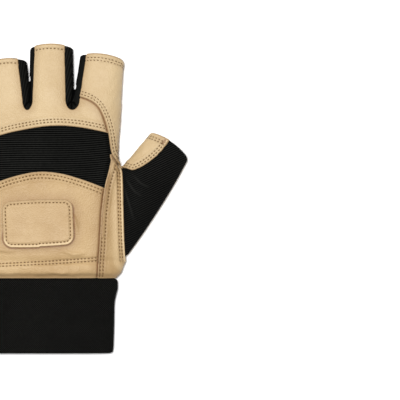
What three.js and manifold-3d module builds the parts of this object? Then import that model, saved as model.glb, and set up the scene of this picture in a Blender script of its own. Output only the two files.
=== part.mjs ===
// Half-finger sports glove for the left hand, lying palm down, in millimetres, +Z up.
// +Y runs from the wrist to the fingertips, +X towards the thumb. The origin is on the surface that the
// glove lies on, under the middle of its outline. The glove is a hollow form of one palm tube, four
// finger tubes and a thumb tube. Leather and fabric are two walls of that form, cut along the seams.
import * as THREE from "three";
import { mergeVertices } from "three/addons/utils/BufferGeometryUtils.js";
import Module from "manifold-3d";

const wasm = await Module();
wasm.setup();

// Driving dimensions
const palmWidth = 109; // across the knuckles, laid flat
const palmLength = 111; // wrist seam to the webs between the fingers
const palmDepth = 24; // surface to the highest point of the back
const fingerWidth = 29;
const fingerDepth = 18;
const fingerLength = 41.3; // the longest finger, web to opening
const thumbWidth = 29.3;
const thumbDepth = 17;
const thumbLength = 79.6; // root, inside the palm, to opening
const thumbLean = 34.8; // degrees from +Y towards the thumb side
const cuffWidth = 106;
const cuffLength = 49;
const cuffDepth = 17;
const cuffWall = 2.6; // two layers of knitted elastic
const leatherWall = 1.5;
const fabricWall = 1.3;
const fabricSink = 0.7; // the fabric's face lies this far under the leather's
const sideSeamHeight = 8; // widest line of every tube, where back and palm meet
const openingBow = 2.4; // the openings stand this far forward at their middle
const seamGap = 0.3; // clearance between neighbouring pieces
const patchWidth = 45.8;
const patchHeight = 31;
const patchCorner = 5.5;
const patchTilt = 2; // degrees
const patchWall = 1.6;

// Where things sit on the plan, as shares of the palm: across is 0 on the middle line and 1 at half the
// palm's width, along is 0 at the wrist seam and 1 at the webs.
const onPalm = ([across, along]) =>
  new THREE.Vector2((across * palmWidth) / 2, (along - 0.5) * palmLength);

// The palm tube. left and right are shares of half the palm's width, depth is a share of the palm's depth.
const palmRows = [
  { along: 0, left: 0.965, right: 0.97, depth: 0.72 },
  { along: 0.035, left: 0.985, right: 1.006, depth: 0.81 },
  { along: 0.065, left: 0.99, right: 1.025, depth: 0.825 },
  { along: 0.094, left: 0.988, right: 1.038, depth: 0.8 },
  { along: 0.13, left: 0.992, right: 1.042, depth: 0.85 },
  { along: 0.226, left: 1.0, right: 1.043, depth: 0.9 },
  { along: 0.372, left: 1.015, right: 1.04, depth: 0.95 },
  { along: 0.519, left: 1.02, right: 1.032, depth: 0.985 },
  { along: 0.636, left: 1.02, right: 1.008, depth: 1.0 },
  { along: 0.707, left: 1.02, right: 0.975, depth: 1.0 },
  { along: 0.812, left: 1.012, right: 0.985, depth: 0.98 },
  { along: 0.93, left: 1.0, right: 1.0, depth: 0.87 },
  { along: 1.006, left: 0.985, right: 1.0, depth: 0.74 },
  { along: 1.035, left: 0.95, right: 0.965, depth: 0.52 },
];

// The fingers, thumb side first. root is the axis's place at the webs, on the palm's half width; lean is in
// degrees towards the thumb side; widths, length and depth are shares of the finger sizes; the strips are
// how far the black sidewalls show on the back at the opening, as shares of the finger's width.
const fingers = {
  index: { root: 0.713, lean: 6.3, rootWidth: 1.115, tipWidth: 1.0, length: 0.84, depth: 1.0,
    leftStrip: 0.155, rightStrip: 0 },
  middle: { root: 0.177, lean: 0.5, rootWidth: 1.085, tipWidth: 0.986, length: 0.992, depth: 1.0,
    leftStrip: 0.11, rightStrip: 0.197 },
  ring: { root: -0.315, lean: -4.5, rootWidth: 1.04, tipWidth: 0.93, length: 0.765, depth: 0.97,
    leftStrip: 0.12, rightStrip: 0.2 },
  little: { root: -0.792, lean: -10, rootWidth: 0.81, tipWidth: 0.79, length: 0.4, depth: 0.9,
    leftStrip: 0, rightStrip: 0.19 },
};

// Stations of one finger tube: share of its length, and what the finger's width and depth are worth there.
const fingerRows = [
  { along: -0.55, width: 0.7, depth: 0.62 },
  { along: -0.25, width: 0.94, depth: 0.98 },
  { along: 0.05, width: 1.0, depth: 1.06 },
  { along: 0.5, width: 1.0, depth: 1.0 },
  { along: 1, width: 1.0, depth: 0.96 },
];

// The thumb tube, root to opening, as shares of the thumb's length, width and depth.
const thumbRoot = [0.782, 0.198];
const thumbRows = [
  { along: -0.12, width: 0.9, depth: 0.7 },
  { along: 0, width: 1.24, depth: 0.86 },
  { along: 0.25, width: 1.26, depth: 1.0 },
  { along: 0.5, width: 1.23, depth: 1.03 },
  { along: 0.75, width: 1.15, depth: 1.0 },
  { along: 1, width: 1.0, depth: 0.95 },
];

// The cuff, wrist seam to free edge, as shares of the cuff's length, width and depth.
const cuffRows = [
  { along: 0, width: 0.968, depth: 0.92 },
  { along: 0.035, width: 0.996, depth: 0.985 },
  { along: 0.1, width: 1.0, depth: 1.0 },
  { along: 0.22, width: 0.978, depth: 0.98 },
  { along: 0.35, width: 0.957, depth: 0.96 },
  { along: 0.65, width: 0.952, depth: 0.95 },
  { along: 0.95, width: 0.942, depth: 0.94 },
  { along: 0.985, width: 0.935, depth: 0.92 },
  { along: 1, width: 0.915, depth: 0.86 },
];

// Seams on the back, as [across, along] on the palm.
const knuckleArch = [
  [-1.3, 0.66], [-1.05, 0.733], [-0.667, 0.798], [-0.429, 0.832], [-0.202, 0.86], [0.163, 0.888],
  [0.482, 0.883], [0.855, 0.849], [1.2, 0.81],
];
const heelArch = [
  [-1.3, 0.35], [-1.05, 0.425], [-0.762, 0.4985], [-0.429, 0.565], [-0.201, 0.6], [0.027, 0.62],
  [0.255, 0.614], [0.482, 0.587], [0.813, 0.527], [1.2, 0.43],
];
const indexSeam = [
  [0.4, 1.075], [0.512, 1.062], [0.634, 1.041], [0.726, 1.01], [0.786, 0.965], [0.832, 0.905],
  [0.862, 0.845], [0.889, 0.763], [0.907, 0.722], [0.96, 0.68], [1.0, 0.65],
];
const stripInner = [
  [0.907, 0.722], [0.869, 0.63], [0.82, 0.531], [0.79, 0.42], [0.777, 0.358], [0.758, 0.182],
  [0.746, 0.107], [0.72, -0.08],
];
const stripOuter = [
  [1.0, 0.65], [1.026, 0.625], [1.037, 0.566], [1.042, 0.466], [1.048, 0.332], [1.056, 0.182],
  [1.064, 0.105],
];
// The thumb's seam with the palm, on the underside.
const thenarSeam = [
  [1.0, 0.65], [0.82, 0.56], [0.74, 0.41], [0.8, 0.24], [1.064, 0.09], [1.25, 0.02],
];
// The thumb's seam on its back, as [share of half the thumb's width, share of its length].
const thumbSeam = [
  [-0.19, 1.12], [-0.17, 0.978], [-0.173, 0.899], [-0.284, 0.807], [-0.462, 0.719], [-0.636, 0.664],
  [-0.764, 0.637], [-1.05, 0.622], [-1.3, 0.6],
];

// How far each sidewall reaches below the webs' line, on the palm's length, and how long its round end
// is, on the finger's width.
const webDrop = { index_middle: 0.02, middle_ring: 0.02, ring_little: 0.07 };
const webRound = 0.22;
const underShare = 0.45; // the sidewalls show this share of their strips on the palm side
const patchCentre = [0.03, 0.3185];

// Sections and tubes
const ringSides = { palm: 40, finger: 20, thumb: 20, cuff: 40 };
const roundness = { palm: 2.9, finger: 2.4, thumb: 2.4, cuff: 3.2 }; // 2 is an ellipse, more is squarer
const floorFlat = 1.6; // how far a section is flattened where it rests
const overrun = 5; // cutting solids reach past what they cut
const sidewallOverrun = 8;

// One corner of a section: across and up, for a section that spans from -half to half about its middle.
function sectionCorner(share, half, depth, power, level) {
  const angle = share * 2 * Math.PI;
  const across = Math.cos(angle);
  const up = Math.sin(angle);
  const reach = (v) => Math.sign(v) * Math.abs(v) ** (2 / power);
  const rise = up > 0 ? depth + level - sideSeamHeight : sideSeamHeight + level + floorFlat;
  return [(half + level) * reach(across), Math.max(sideSeamHeight + rise * reach(up), -level)];
}

// A closed tube through rows of { at, left, right, depth } along a plan axis, all in millimetres. level
// grows the tube outwards, or shrinks it if it is negative, and bow brings the last row's sides back.
function tube({ start, lean = 0, rows, kind, level = 0, bow = 0 }) {
  const sides = ringSides[kind];
  const turn = THREE.MathUtils.degToRad(lean);
  const ahead = new THREE.Vector2(Math.sin(turn), Math.cos(turn));
  const sideways = new THREE.Vector2(Math.cos(turn), -Math.sin(turn));
  const positions = [];
  const place = (at, across, up) => {
    const p = start.clone().addScaledVector(ahead, at).addScaledVector(sideways, across);
    positions.push(p.x, p.y, up);
  };
  rows.forEach((row, r) => {
    const half = (row.left + row.right) / 2;
    const middle = (row.right - row.left) / 2;
    const bend = r === rows.length - 1 ? bow : 0;
    for (let k = 0; k < sides; k++) {
      const [across, up] = sectionCorner(k / sides, half, row.depth, roundness[kind], level);
      place(row.at - bend * (across / half) ** 2, middle + across, up);
    }
  });
  const index = [];
  for (let r = 0; r + 1 < rows.length; r++) {
    for (let k = 0; k < sides; k++) {
      const [a, b] = [r * sides + k, r * sides + ((k + 1) % sides)];
      index.push(a, a + sides, b, b, a + sides, b + sides);
    }
  }
  const lastRing = (rows.length - 1) * sides;
  [rows[0], rows[rows.length - 1]].forEach((row) => {
    place(row.at, (row.right - row.left) / 2, row.depth / 2);
  });
  const [firstHub, lastHub] = [rows.length * sides, rows.length * sides + 1];
  for (let k = 0; k < sides; k++) {
    const next = (k + 1) % sides;
    index.push(firstHub, k, next, lastHub, lastRing + next, lastRing + k);
  }
  const geometry = new THREE.BufferGeometry();
  geometry.setAttribute("position", new THREE.Float32BufferAttribute(positions, 3));
  geometry.setIndex(index);
  return solid(geometry);
}

// A three.js geometry as a solid that can be cut and joined.
function solid(geometry) {
  geometry.deleteAttribute("normal");
  geometry.deleteAttribute("uv");
  const merged = mergeVertices(geometry, 1e-4);
  const triVerts = new Uint32Array(merged.index.array);
  const vertProperties = new Float32Array(merged.attributes.position.array);
  return new wasm.Manifold(new wasm.Mesh({ numProp: 3, vertProperties, triVerts }));
}

// Rows of a tube with symmetric sides, from shares of its sizes.
const evenRows = (rows, length, width, depth) =>
  rows.map((row) => ({
    at: row.along * length,
    left: (row.width * width) / 2,
    right: (row.width * width) / 2,
    depth: row.depth * depth,
  }));

// Repeats the last row further on, so that a bore runs out through an opening.
const runOut = (rows, by) => [...rows, { ...rows.at(-1), at: rows.at(-1).at + by }];

const fingerLengthOf = (f) => f.length * fingerLength;
const fingerStart = (f) => onPalm([f.root, 1]);

function fingerRowsOf(f) {
  return fingerRows.map((row) => {
    const taper = THREE.MathUtils.lerp(f.rootWidth, f.tipWidth, Math.max(row.along, 0));
    const half = (row.width * taper * fingerWidth) / 2;
    const reach = row.along < 0 ? fingerLength : fingerLengthOf(f);
    return { at: row.along * reach, left: half, right: half, depth: row.depth * f.depth * fingerDepth };
  });
}

// The whole hollow form, grown by level; open adds the run-outs that make its openings.
function handForm(level, open) {
  const end = (rows) => (open ? runOut(rows, overrun) : rows);
  const palm = palmRows.map((row) => ({
    at: row.along * palmLength,
    left: (row.left * palmWidth) / 2,
    right: (row.right * palmWidth) / 2,
    depth: row.depth * palmDepth,
  }));
  const wristRunOut = open ? [{ ...palm[0], at: -overrun }] : [];
  // A wall's inner form ends one wall short of the round end at the webs.
  const shortened = palm.map((row, r) => (r === palm.length - 1 ? { ...row, at: row.at + level } : row));
  let form = tube({ start: onPalm([0, 0]), rows: [...wristRunOut, ...shortened], kind: "palm", level });
  for (const f of Object.values(fingers)) {
    form = form.add(
      tube({ start: fingerStart(f), lean: f.lean, rows: end(fingerRowsOf(f)), kind: "finger", level,
        bow: openingBow }),
    );
  }
  const thumb = evenRows(thumbRows, thumbLength, thumbWidth, thumbDepth);
  return form.add(
    tube({ start: onPalm(thumbRoot), lean: thumbLean, rows: end(thumb), kind: "thumb", level,
      bow: openingBow }),
  );
}

// A point on the thumb's plan, as [share of half its width, share of its length].
function onThumb([across, along]) {
  const turn = THREE.MathUtils.degToRad(thumbLean);
  return onPalm(thumbRoot)
    .add(new THREE.Vector2(Math.sin(turn), Math.cos(turn)).multiplyScalar(along * thumbLength))
    .add(new THREE.Vector2(Math.cos(turn), -Math.sin(turn)).multiplyScalar((across * thumbWidth) / 2));
}

// A point beside a finger's axis, in millimetres across and ahead of the webs' line.
function besideFinger(f, across, ahead) {
  const turn = THREE.MathUtils.degToRad(f.lean);
  return fingerStart(f)
    .add(new THREE.Vector2(Math.sin(turn), Math.cos(turn)).multiplyScalar(ahead))
    .add(new THREE.Vector2(Math.cos(turn), -Math.sin(turn)).multiplyScalar(across));
}

// Plan curves and the solids that stand on them
const ceiling = palmDepth + patchWall + overrun;
const seamStep = 5; // spacing of the points along a seam
const heights = {
  whole: [-overrun, ceiling],
  top: [sideSeamHeight + seamGap, ceiling],
  upper: [sideSeamHeight, ceiling],
  bottom: [-overrun, sideSeamHeight],
  waist: [sideSeamHeight - seamGap, sideSeamHeight + seamGap],
};

function smooth(points) {
  const curve = new THREE.SplineCurve(points);
  return curve.getSpacedPoints(Math.ceil(curve.getLength() / seamStep));
}

function prism(outline, [low, high]) {
  const geometry = new THREE.ExtrudeGeometry(new THREE.Shape(outline), {
    depth: high - low,
    bevelEnabled: false,
    curveSegments: 8,
  });
  return solid(geometry.translate(0, 0, low));
}

// A thin wall along a seam, which leaves the clearance between two panels.
function kerf(curve, range) {
  const side = (sign) =>
    curve.map((p, i) => {
      const ahead = curve[Math.min(i + 1, curve.length - 1)];
      const behind = curve[Math.max(i - 1, 0)];
      const along = ahead.clone().sub(behind).normalize();
      return new THREE.Vector2(p.x - (along.y * sign * seamGap) / 2, p.y + (along.x * sign * seamGap) / 2);
    });
  return prism([...side(1), ...side(-1).reverse()], range);
}

const curves = {
  knuckleArch: smooth(knuckleArch.map(onPalm)),
  heelArch: smooth(heelArch.map(onPalm)),
  indexSeam: smooth(indexSeam.map(onPalm)),
  stripInner: smooth(stripInner.map(onPalm)),
  stripOuter: smooth(stripOuter.map(onPalm)),
  thenarSeam: smooth(thenarSeam.map(onPalm)),
  thumbSeam: smooth(thumbSeam.map(onThumb)),
};

// Corners well outside the glove, on the palm's shares, that close the regions.
const outside = {
  tipLeft: onPalm([-1.7, 1.7]),
  wristLeft: onPalm([-1.7, -0.2]),
  betweenTips: onPalm([0.5, 1.7]),
  tipRight: onPalm([1.4, 1.7]),
  notch: onPalm([1.1, 0.75]),
  thumbTop: onPalm([1.25, 1.2]),
  thumbFar: onPalm([2.4, 0.9]),
  thumbLow: onPalm([1.6, 0.08]),
  wristRight: onPalm([1.4, -0.2]),
  wristMiddle: onPalm([0.72, -0.2]),
  innerTip: onThumb([-1.6, 1.3]),
  outerTip: onThumb([-0.19, 1.3]),
};

// The outline of one sidewall pair: down beside the left finger, round under the web, up beside the right.
function webOutline(name, leftFinger, rightFinger, shown) {
  const web = -webDrop[name] * palmLength;
  const leftLength = fingerLengthOf(leftFinger);
  const rightLength = fingerLengthOf(rightFinger);
  const edge = (f, sign, strip, ahead) => {
    const taper = THREE.MathUtils.lerp(f.rootWidth, f.tipWidth, Math.max(ahead / fingerLengthOf(f), 0));
    return besideFinger(f, sign * ((taper * fingerWidth) / 2 - shown * strip * fingerWidth), ahead);
  };
  const left = (ahead) => edge(leftFinger, 1, leftFinger.rightStrip, ahead);
  const right = (ahead) => edge(rightFinger, -1, rightFinger.leftStrip, ahead);
  const from = left(web + webRound * fingerWidth);
  const to = right(web + webRound * fingerWidth);
  const middle = from.clone().lerp(to, 0.5);
  const round = new THREE.EllipseCurve(
    middle.x, middle.y, from.distanceTo(to) / 2, webRound * fingerWidth, Math.PI, 2 * Math.PI);
  return [left(leftLength + sidewallOverrun), left(leftLength / 2), ...round.getPoints(8),
    right(rightLength / 2), right(rightLength + sidewallOverrun)];
}

const webs = {
  index_middle: [fingers.middle, fingers.index],
  middle_ring: [fingers.ring, fingers.middle],
  ring_little: [fingers.little, fingers.ring],
};
const webCuts = Object.entries(webs).map(([name, [left, right]]) => ({
  name,
  upper: webOutline(name, left, right, 1),
  lower: webOutline(name, left, right, underShare),
}));

// Regions of the plan
const junction = onPalm(stripInner[0]);
const seamAbove = curves.indexSeam.filter((p) => p.y > junction.y + seamGap);
const seamBelow = curves.indexSeam.filter((p) => p.y < junction.y - seamGap);
const { tipLeft, wristLeft, betweenTips, tipRight, notch, thumbTop, thumbFar, thumbLow } = outside;
const everywhere = [tipLeft, wristLeft, outside.wristRight, thumbFar, tipRight];
const region = {
  index: prism([...curves.indexSeam, notch, thumbTop, tipRight, betweenTips], heights.whole),
  back: prism([...seamAbove, ...curves.stripInner, wristLeft, tipLeft, betweenTips], heights.top),
  aboveKnuckleArch: prism([...curves.knuckleArch, tipRight, tipLeft], heights.top),
  aboveHeelArch: prism([...curves.heelArch, tipRight, tipLeft], heights.top),
  strip: prism([
    junction, ...seamBelow, ...curves.stripOuter.slice(1), thumbLow, outside.wristRight, outside.wristMiddle,
    ...curves.stripInner.slice(1).reverse(),
  ], heights.top),
  thumb: prism([...curves.stripOuter, thumbLow, thumbFar, thumbTop, notch], heights.upper),
  thumbTip: prism([...curves.thumbSeam, outside.innerTip, outside.outerTip], heights.upper),
  thenar: prism([...curves.thenarSeam, thumbFar, thumbTop, notch], heights.bottom),
  lowerHalf: prism(everywhere, heights.bottom),
};

const gaps = {
  knuckleArch: kerf(curves.knuckleArch, heights.whole),
  heelArch: kerf(curves.heelArch, heights.whole),
  indexSeam: kerf(curves.indexSeam, heights.top),
  stripInner: kerf(curves.stripInner, heights.whole),
  stripOuter: kerf([...curves.stripOuter, thumbLow], heights.top),
  crotch: kerf([curves.stripOuter[0], notch], heights.whole),
  thumbSeam: kerf(curves.thumbSeam, heights.upper),
  thenarSeam: kerf(curves.thenarSeam, heights.bottom),
};
const webRegions = Object.fromEntries(
  webCuts.map(({ name, upper, lower }) => [
    name, prism(upper, [sideSeamHeight, ceiling]).add(prism(lower, [-overrun, sideSeamHeight])),
  ]),
);
const webGaps = webCuts.map(({ upper, lower }) =>
  kerf(upper, [sideSeamHeight - seamGap, ceiling]).add(kerf(lower, [-overrun, sideSeamHeight + seamGap])),
);

// Walls of the hollow form
const shell = (top, wall) => handForm(top, false).subtract(handForm(top - wall, true));
const leather = shell(0, leatherWall);
const fabric = shell(-fabricSink, fabricWall);

const cut = (body, ...tools) => tools.reduce((left, tool) => left.subtract(tool), body);
const leatherPanel = (area) => cut(leather.intersect(area), ...Object.values(webRegions), ...webGaps);

// The one connected body of a cut, without the slivers a seam leaves beside it.
function mainBody(body) {
  return body.decompose().reduce((best, next) => (next.volume() > best.volume() ? next : best));
}

// Pieces
const palmShell = cut(
  leatherPanel(region.lowerHalf.subtract(region.thenar).add(region.index)),
  gaps.thenarSeam, gaps.indexSeam, gaps.crotch,
);
const yoke = cut(
  leatherPanel(region.back.intersect(region.aboveKnuckleArch)), gaps.knuckleArch, gaps.indexSeam,
);
const stretchPanel = cut(
  fabric.intersect(region.back.intersect(region.aboveHeelArch).subtract(region.aboveKnuckleArch)),
  gaps.knuckleArch, gaps.heelArch, gaps.indexSeam, gaps.stripInner,
);
const heelPanel = cut(
  leatherPanel(region.back.subtract(region.aboveHeelArch)), gaps.heelArch, gaps.stripInner,
);
const sideStrip = cut(
  leatherPanel(region.strip), gaps.indexSeam, gaps.stripInner, gaps.stripOuter,
);
const thumbBack = cut(
  fabric.intersect(region.thumb.subtract(region.thumbTip)), gaps.thumbSeam, gaps.stripOuter, gaps.crotch,
  prism(everywhere, heights.waist),
);
const thumbPalm = cut(
  leather.intersect(region.thenar.add(region.thumbTip.intersect(region.thumb))),
  gaps.thenarSeam, gaps.thumbSeam, gaps.crotch,
);
const fourchettes = Object.fromEntries(
  Object.entries(webRegions).map(([name, area]) => [name, cut(fabric.intersect(area), ...webGaps)]),
);

// The patch follows the back, one clearance above the heel panel.
function patchOutline() {
  const [w, h] = [patchWidth / 2 - patchCorner, patchHeight / 2 - patchCorner];
  const shape = new THREE.Shape();
  shape.absarc(w, h, patchCorner, 0, Math.PI / 2);
  shape.absarc(-w, h, patchCorner, Math.PI / 2, Math.PI);
  shape.absarc(-w, -h, patchCorner, Math.PI, 1.5 * Math.PI);
  shape.absarc(w, -h, patchCorner, 1.5 * Math.PI, 2 * Math.PI);
  const tilt = THREE.MathUtils.degToRad(patchTilt);
  const centre = onPalm(patchCentre);
  return shape.getPoints(6).map((p) => p.rotateAround(new THREE.Vector2(), tilt).add(centre));
}
const patchLevel = seamGap + patchWall;
const patch = handForm(patchLevel, false)
  .subtract(handForm(seamGap, false))
  .intersect(prism(patchOutline(), heights.top));

// The cuff, from the wrist seam back to its free edge.
const cuffBody = (level, open) => {
  const rows = evenRows(cuffRows, cuffLength, cuffWidth, cuffDepth);
  const ends = open ? runOut([{ ...rows[0], at: -overrun }, ...rows], overrun) : rows;
  return tube({ start: onPalm([0, 0]).sub(new THREE.Vector2(0, seamGap)), lean: 180, rows: ends,
    kind: "cuff", level });
};
const cuff = cuffBody(0, false).subtract(cuffBody(-cuffWall, true));

// Materials and meshes
const looks = {
  leather: { color: 0xe2c79f, roughness: 0.7, metalness: 0 },
  trim: { color: 0xcaab7f, roughness: 0.72, metalness: 0 },
  patch: { color: 0xdcbf94, roughness: 0.68, metalness: 0 },
  stretch: { color: 0x181817, roughness: 0.9, metalness: 0 },
  sidewall: { color: 0x1a1a18, roughness: 0.9, metalness: 0 },
  elastic: { color: 0x151514, roughness: 0.92, metalness: 0 },
};

function piece(name, body, look) {
  const { vertProperties, triVerts } = mainBody(body).getMesh();
  const geometry = new THREE.BufferGeometry();
  geometry.setAttribute("position", new THREE.Float32BufferAttribute(vertProperties, 3));
  geometry.setIndex([...triVerts]);
  geometry.computeVertexNormals();
  const made = new THREE.Mesh(geometry, new THREE.MeshStandardMaterial({ name: look, ...looks[look] }));
  made.name = name;
  return made;
}

const pieces = new THREE.Group();
pieces.add(
  piece("palm_shell", palmShell, "leather"),
  piece("knuckle_yoke", yoke, "leather"),
  piece("stretch_panel", stretchPanel, "stretch"),
  piece("heel_panel", heelPanel, "leather"),
  piece("side_strip", sideStrip, "trim"),
  piece("patch", patch, "patch"),
  piece("thumb_back", thumbBack, "stretch"),
  piece("thumb_palm", thumbPalm, "leather"),
  piece("sidewall_index_middle", fourchettes.index_middle, "sidewall"),
  piece("sidewall_middle_ring", fourchettes.middle_ring, "sidewall"),
  piece("sidewall_ring_little", fourchettes.ring_little, "sidewall"),
  piece("cuff", cuff, "elastic"),
);

// The middle of the outline goes to the origin, and the underside to the surface.
const extent = new THREE.Box3().setFromObject(pieces);
const middle = extent.getCenter(new THREE.Vector3());
pieces.position.set(-middle.x, -middle.y, -extent.min.z);

const glove = new THREE.Group();
glove.name = "glove";
glove.add(pieces);

export default glove;
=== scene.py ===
# Half-finger leather glove for the left hand, lying palm down on a pale floor. Metres, +Z up.
# One smooth hollow form is worked out from short tables of sections. Each leather or fabric panel is
# that form clipped along its seams, given its own level, thickness and rolled edge.
# Rows of single stitches follow the seams.
import math

import bpy
import numpy as np
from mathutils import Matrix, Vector
from mathutils.kdtree import KDTree


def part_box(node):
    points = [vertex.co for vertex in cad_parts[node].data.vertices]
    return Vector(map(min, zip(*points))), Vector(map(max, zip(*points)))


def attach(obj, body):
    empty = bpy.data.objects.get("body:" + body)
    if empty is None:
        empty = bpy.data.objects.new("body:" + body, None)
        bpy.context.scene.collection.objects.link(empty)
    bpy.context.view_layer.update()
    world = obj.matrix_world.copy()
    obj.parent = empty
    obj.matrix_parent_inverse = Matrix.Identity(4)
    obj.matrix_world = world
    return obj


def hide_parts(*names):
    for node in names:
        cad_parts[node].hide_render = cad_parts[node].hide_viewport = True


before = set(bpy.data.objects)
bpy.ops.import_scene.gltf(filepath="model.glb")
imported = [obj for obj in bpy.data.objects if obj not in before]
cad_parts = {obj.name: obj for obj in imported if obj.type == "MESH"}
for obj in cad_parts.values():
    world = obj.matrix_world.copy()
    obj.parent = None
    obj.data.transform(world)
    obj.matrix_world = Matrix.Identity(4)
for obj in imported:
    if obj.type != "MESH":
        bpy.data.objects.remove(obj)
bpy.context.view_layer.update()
MM = 0.001

# Sizes of the glove
PALM_WIDTH = 109 * MM
PALM_LENGTH = 111 * MM
PALM_DEPTH = 24 * MM
FINGER_WIDTH = 29 * MM
FINGER_DEPTH = 18 * MM
FINGER_LENGTH = 41.3 * MM
THUMB_WIDTH = 29.3 * MM
THUMB_DEPTH = 17 * MM
THUMB_LENGTH = 79.6 * MM
THUMB_LEAN = 34.8
CUFF_WIDTH = 106 * MM
CUFF_LENGTH = 49 * MM
CUFF_DEPTH = 17 * MM
CUFF_WALL = 2.4 * MM
SIDE_SEAM_HEIGHT = 8 * MM
FLOOR_FLAT = 1.6 * MM
OPENING_BOW = 2.4 * MM
SEAM_GAP = 0.3 * MM
LEATHER = 1.25 * MM
FABRIC = 1.1 * MM
PATCH_WIDTH = 45.8 * MM
PATCH_HEIGHT = 31 * MM
PATCH_CORNER = 5.5 * MM
PATCH_TILT = 2.0
PATCH_PLACE = (0.03, 0.3185)
PATCH_NOTCH = 0.2 * MM
TIP_CORNER = 2.3 * MM
THUMB_CORNERS = (1.2 * MM, 2.4 * MM)
THUMB_REACH = 0.9 * MM
PITCH = 2.3 * MM
STITCH = 1.7 * MM
THREAD = 0.18 * MM
LAP = 2.2 * MM
EDGE = LEATHER / 2
PALM_ROUNDNESS = 2.9
FINGER_ROUNDNESS = 2.4
CUFF_ROUNDNESS = 3.2

# How far inside each seam its rows of stitches lie
ROWS = {
    "knuckle": (2.4 * MM, 4.1 * MM),
    "heel": (2.0 * MM, 4.1 * MM),
    "index": (1.7 * MM, 3.5 * MM),
    "strip_in": (1.4 * MM, 3.3 * MM),
    "strip_out": (1.9 * MM, 3.4 * MM),
    "band": (-0.9 * MM, 0.9 * MM),
    "thumb": (1.5 * MM, 3.1 * MM),
    "thenar": (2.0 * MM,),
    "tip": (2.3 * MM,),
    "index_tip": (2.0 * MM, 3.8 * MM),
    "thumb_tip": (2.0 * MM, 3.7 * MM),
    "patch": (2.1 * MM,),
}

# Where the palm lies: the cuff gives its middle line and the wrist seam.
cuff_low, cuff_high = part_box("cuff")
MIDDLE_X = (cuff_low[0] + cuff_high[0]) / 2
WRIST_Y = cuff_high[1] + SEAM_GAP


def on_palm(place):
    """A plan point from its shares: across is 1 at half the palm's width, along is 1 at the webs."""
    across, along = place
    return np.array([MIDDLE_X + across * PALM_WIDTH / 2, WRIST_Y + along * PALM_LENGTH])


def sections(columns, *lines):
    """A table of sections as one array per named column."""
    return {name: np.array([line[k] for line in lines], float) for k, name in enumerate(columns)}


palm_rows = sections(
    ("along", "left", "right", "depth"),
    (-0.10, 0.945, 0.935, 0.70),
    (0.000, 0.965, 0.970, 0.72),
    (0.035, 0.985, 1.006, 0.81),
    (0.065, 0.990, 1.025, 0.825),
    (0.094, 0.988, 1.038, 0.80),
    (0.130, 0.992, 1.042, 0.85),
    (0.226, 1.000, 1.043, 0.90),
    (0.372, 1.015, 1.040, 0.95),
    (0.519, 1.020, 1.032, 0.985),
    (0.636, 1.020, 1.008, 1.00),
    (0.707, 1.020, 0.975, 1.00),
    (0.812, 1.012, 0.985, 0.98),
    (0.930, 1.000, 1.000, 0.87),
    (1.006, 0.985, 1.000, 0.74),
    (1.045, 0.950, 0.965, 0.52),
)
finger_rows = sections(
    ("along", "width", "depth"),
    (-0.55, 0.70, 0.62),
    (-0.25, 0.94, 0.98),
    (0.05, 1.00, 1.06),
    (0.50, 1.00, 1.00),
    (1.00, 1.00, 0.96),
)
thumb_rows = sections(
    ("along", "width", "depth"),
    (-0.12, 0.90, 0.70),
    (0.00, 1.24, 0.86),
    (0.25, 1.26, 1.00),
    (0.50, 1.23, 1.03),
    (0.75, 1.15, 1.00),
    (1.00, 1.00, 0.95),
)
cuff_rows = sections(
    ("along", "width", "depth"),
    (0.000, 0.950, 0.86),
    (0.020, 0.985, 0.95),
    (0.060, 0.998, 0.99),
    (0.120, 0.998, 1.00),
    (0.220, 0.978, 0.98),
    (0.350, 0.957, 0.96),
    (0.650, 0.952, 0.95),
    (0.950, 0.942, 0.94),
    (0.985, 0.935, 0.92),
    (1.000, 0.915, 0.86),
)
fingers = {
    "index": dict(root=0.713, lean=6.3, root_width=1.115, tip_width=1.0, length=0.84, depth=1.0,
                  left_strip=0.155, right_strip=0.0),
    "middle": dict(root=0.177, lean=0.5, root_width=1.085, tip_width=0.986, length=0.992, depth=1.0,
                   left_strip=0.11, right_strip=0.197),
    "ring": dict(root=-0.315, lean=-4.5, root_width=1.04, tip_width=0.93, length=0.765, depth=0.97,
                 left_strip=0.12, right_strip=0.2),
    "little": dict(root=-0.792, lean=-10.0, root_width=0.81, tip_width=0.79, length=0.4, depth=0.9,
                   left_strip=0.0, right_strip=0.19),
}
THUMB_ROOT = (0.782, 0.198)

# Seams as plan points, in the palm's shares
knuckle_arch = [(-1.3, 0.66), (-1.05, 0.733), (-0.667, 0.798), (-0.429, 0.832), (-0.202, 0.86),
                (0.163, 0.888), (0.482, 0.883), (0.855, 0.849), (1.2, 0.81)]
heel_arch = [(-1.3, 0.35), (-1.05, 0.425), (-0.762, 0.4985), (-0.429, 0.565), (-0.201, 0.6),
             (0.027, 0.62), (0.255, 0.614), (0.482, 0.587), (0.813, 0.527), (1.2, 0.43)]
index_seam = [(0.4, 1.075), (0.512, 1.062), (0.634, 1.041), (0.726, 1.01), (0.786, 0.965),
              (0.832, 0.905), (0.862, 0.845), (0.889, 0.763), (0.907, 0.722), (0.96, 0.68), (1.0, 0.65)]
strip_inner = [(0.907, 0.722), (0.869, 0.63), (0.82, 0.531), (0.79, 0.42), (0.777, 0.358),
               (0.758, 0.182), (0.746, 0.107), (0.72, -0.12)]
strip_outer = [(1.0, 0.65), (1.026, 0.625), (1.037, 0.566), (1.042, 0.466), (1.048, 0.332),
               (1.056, 0.182), (1.064, 0.105)]
thenar_seam = [(1.0, 0.65), (0.82, 0.56), (0.74, 0.41), (0.8, 0.24), (1.064, 0.09), (1.25, 0.02)]
# The thumb's seam, in shares of half the thumb's width and of its length
thumb_seam = [(-0.19, 1.15), (-0.17, 0.978), (-0.173, 0.899), (-0.284, 0.807), (-0.462, 0.719),
              (-0.636, 0.664), (-0.764, 0.637), (-1.05, 0.622), (-1.3, 0.6)]


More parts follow.
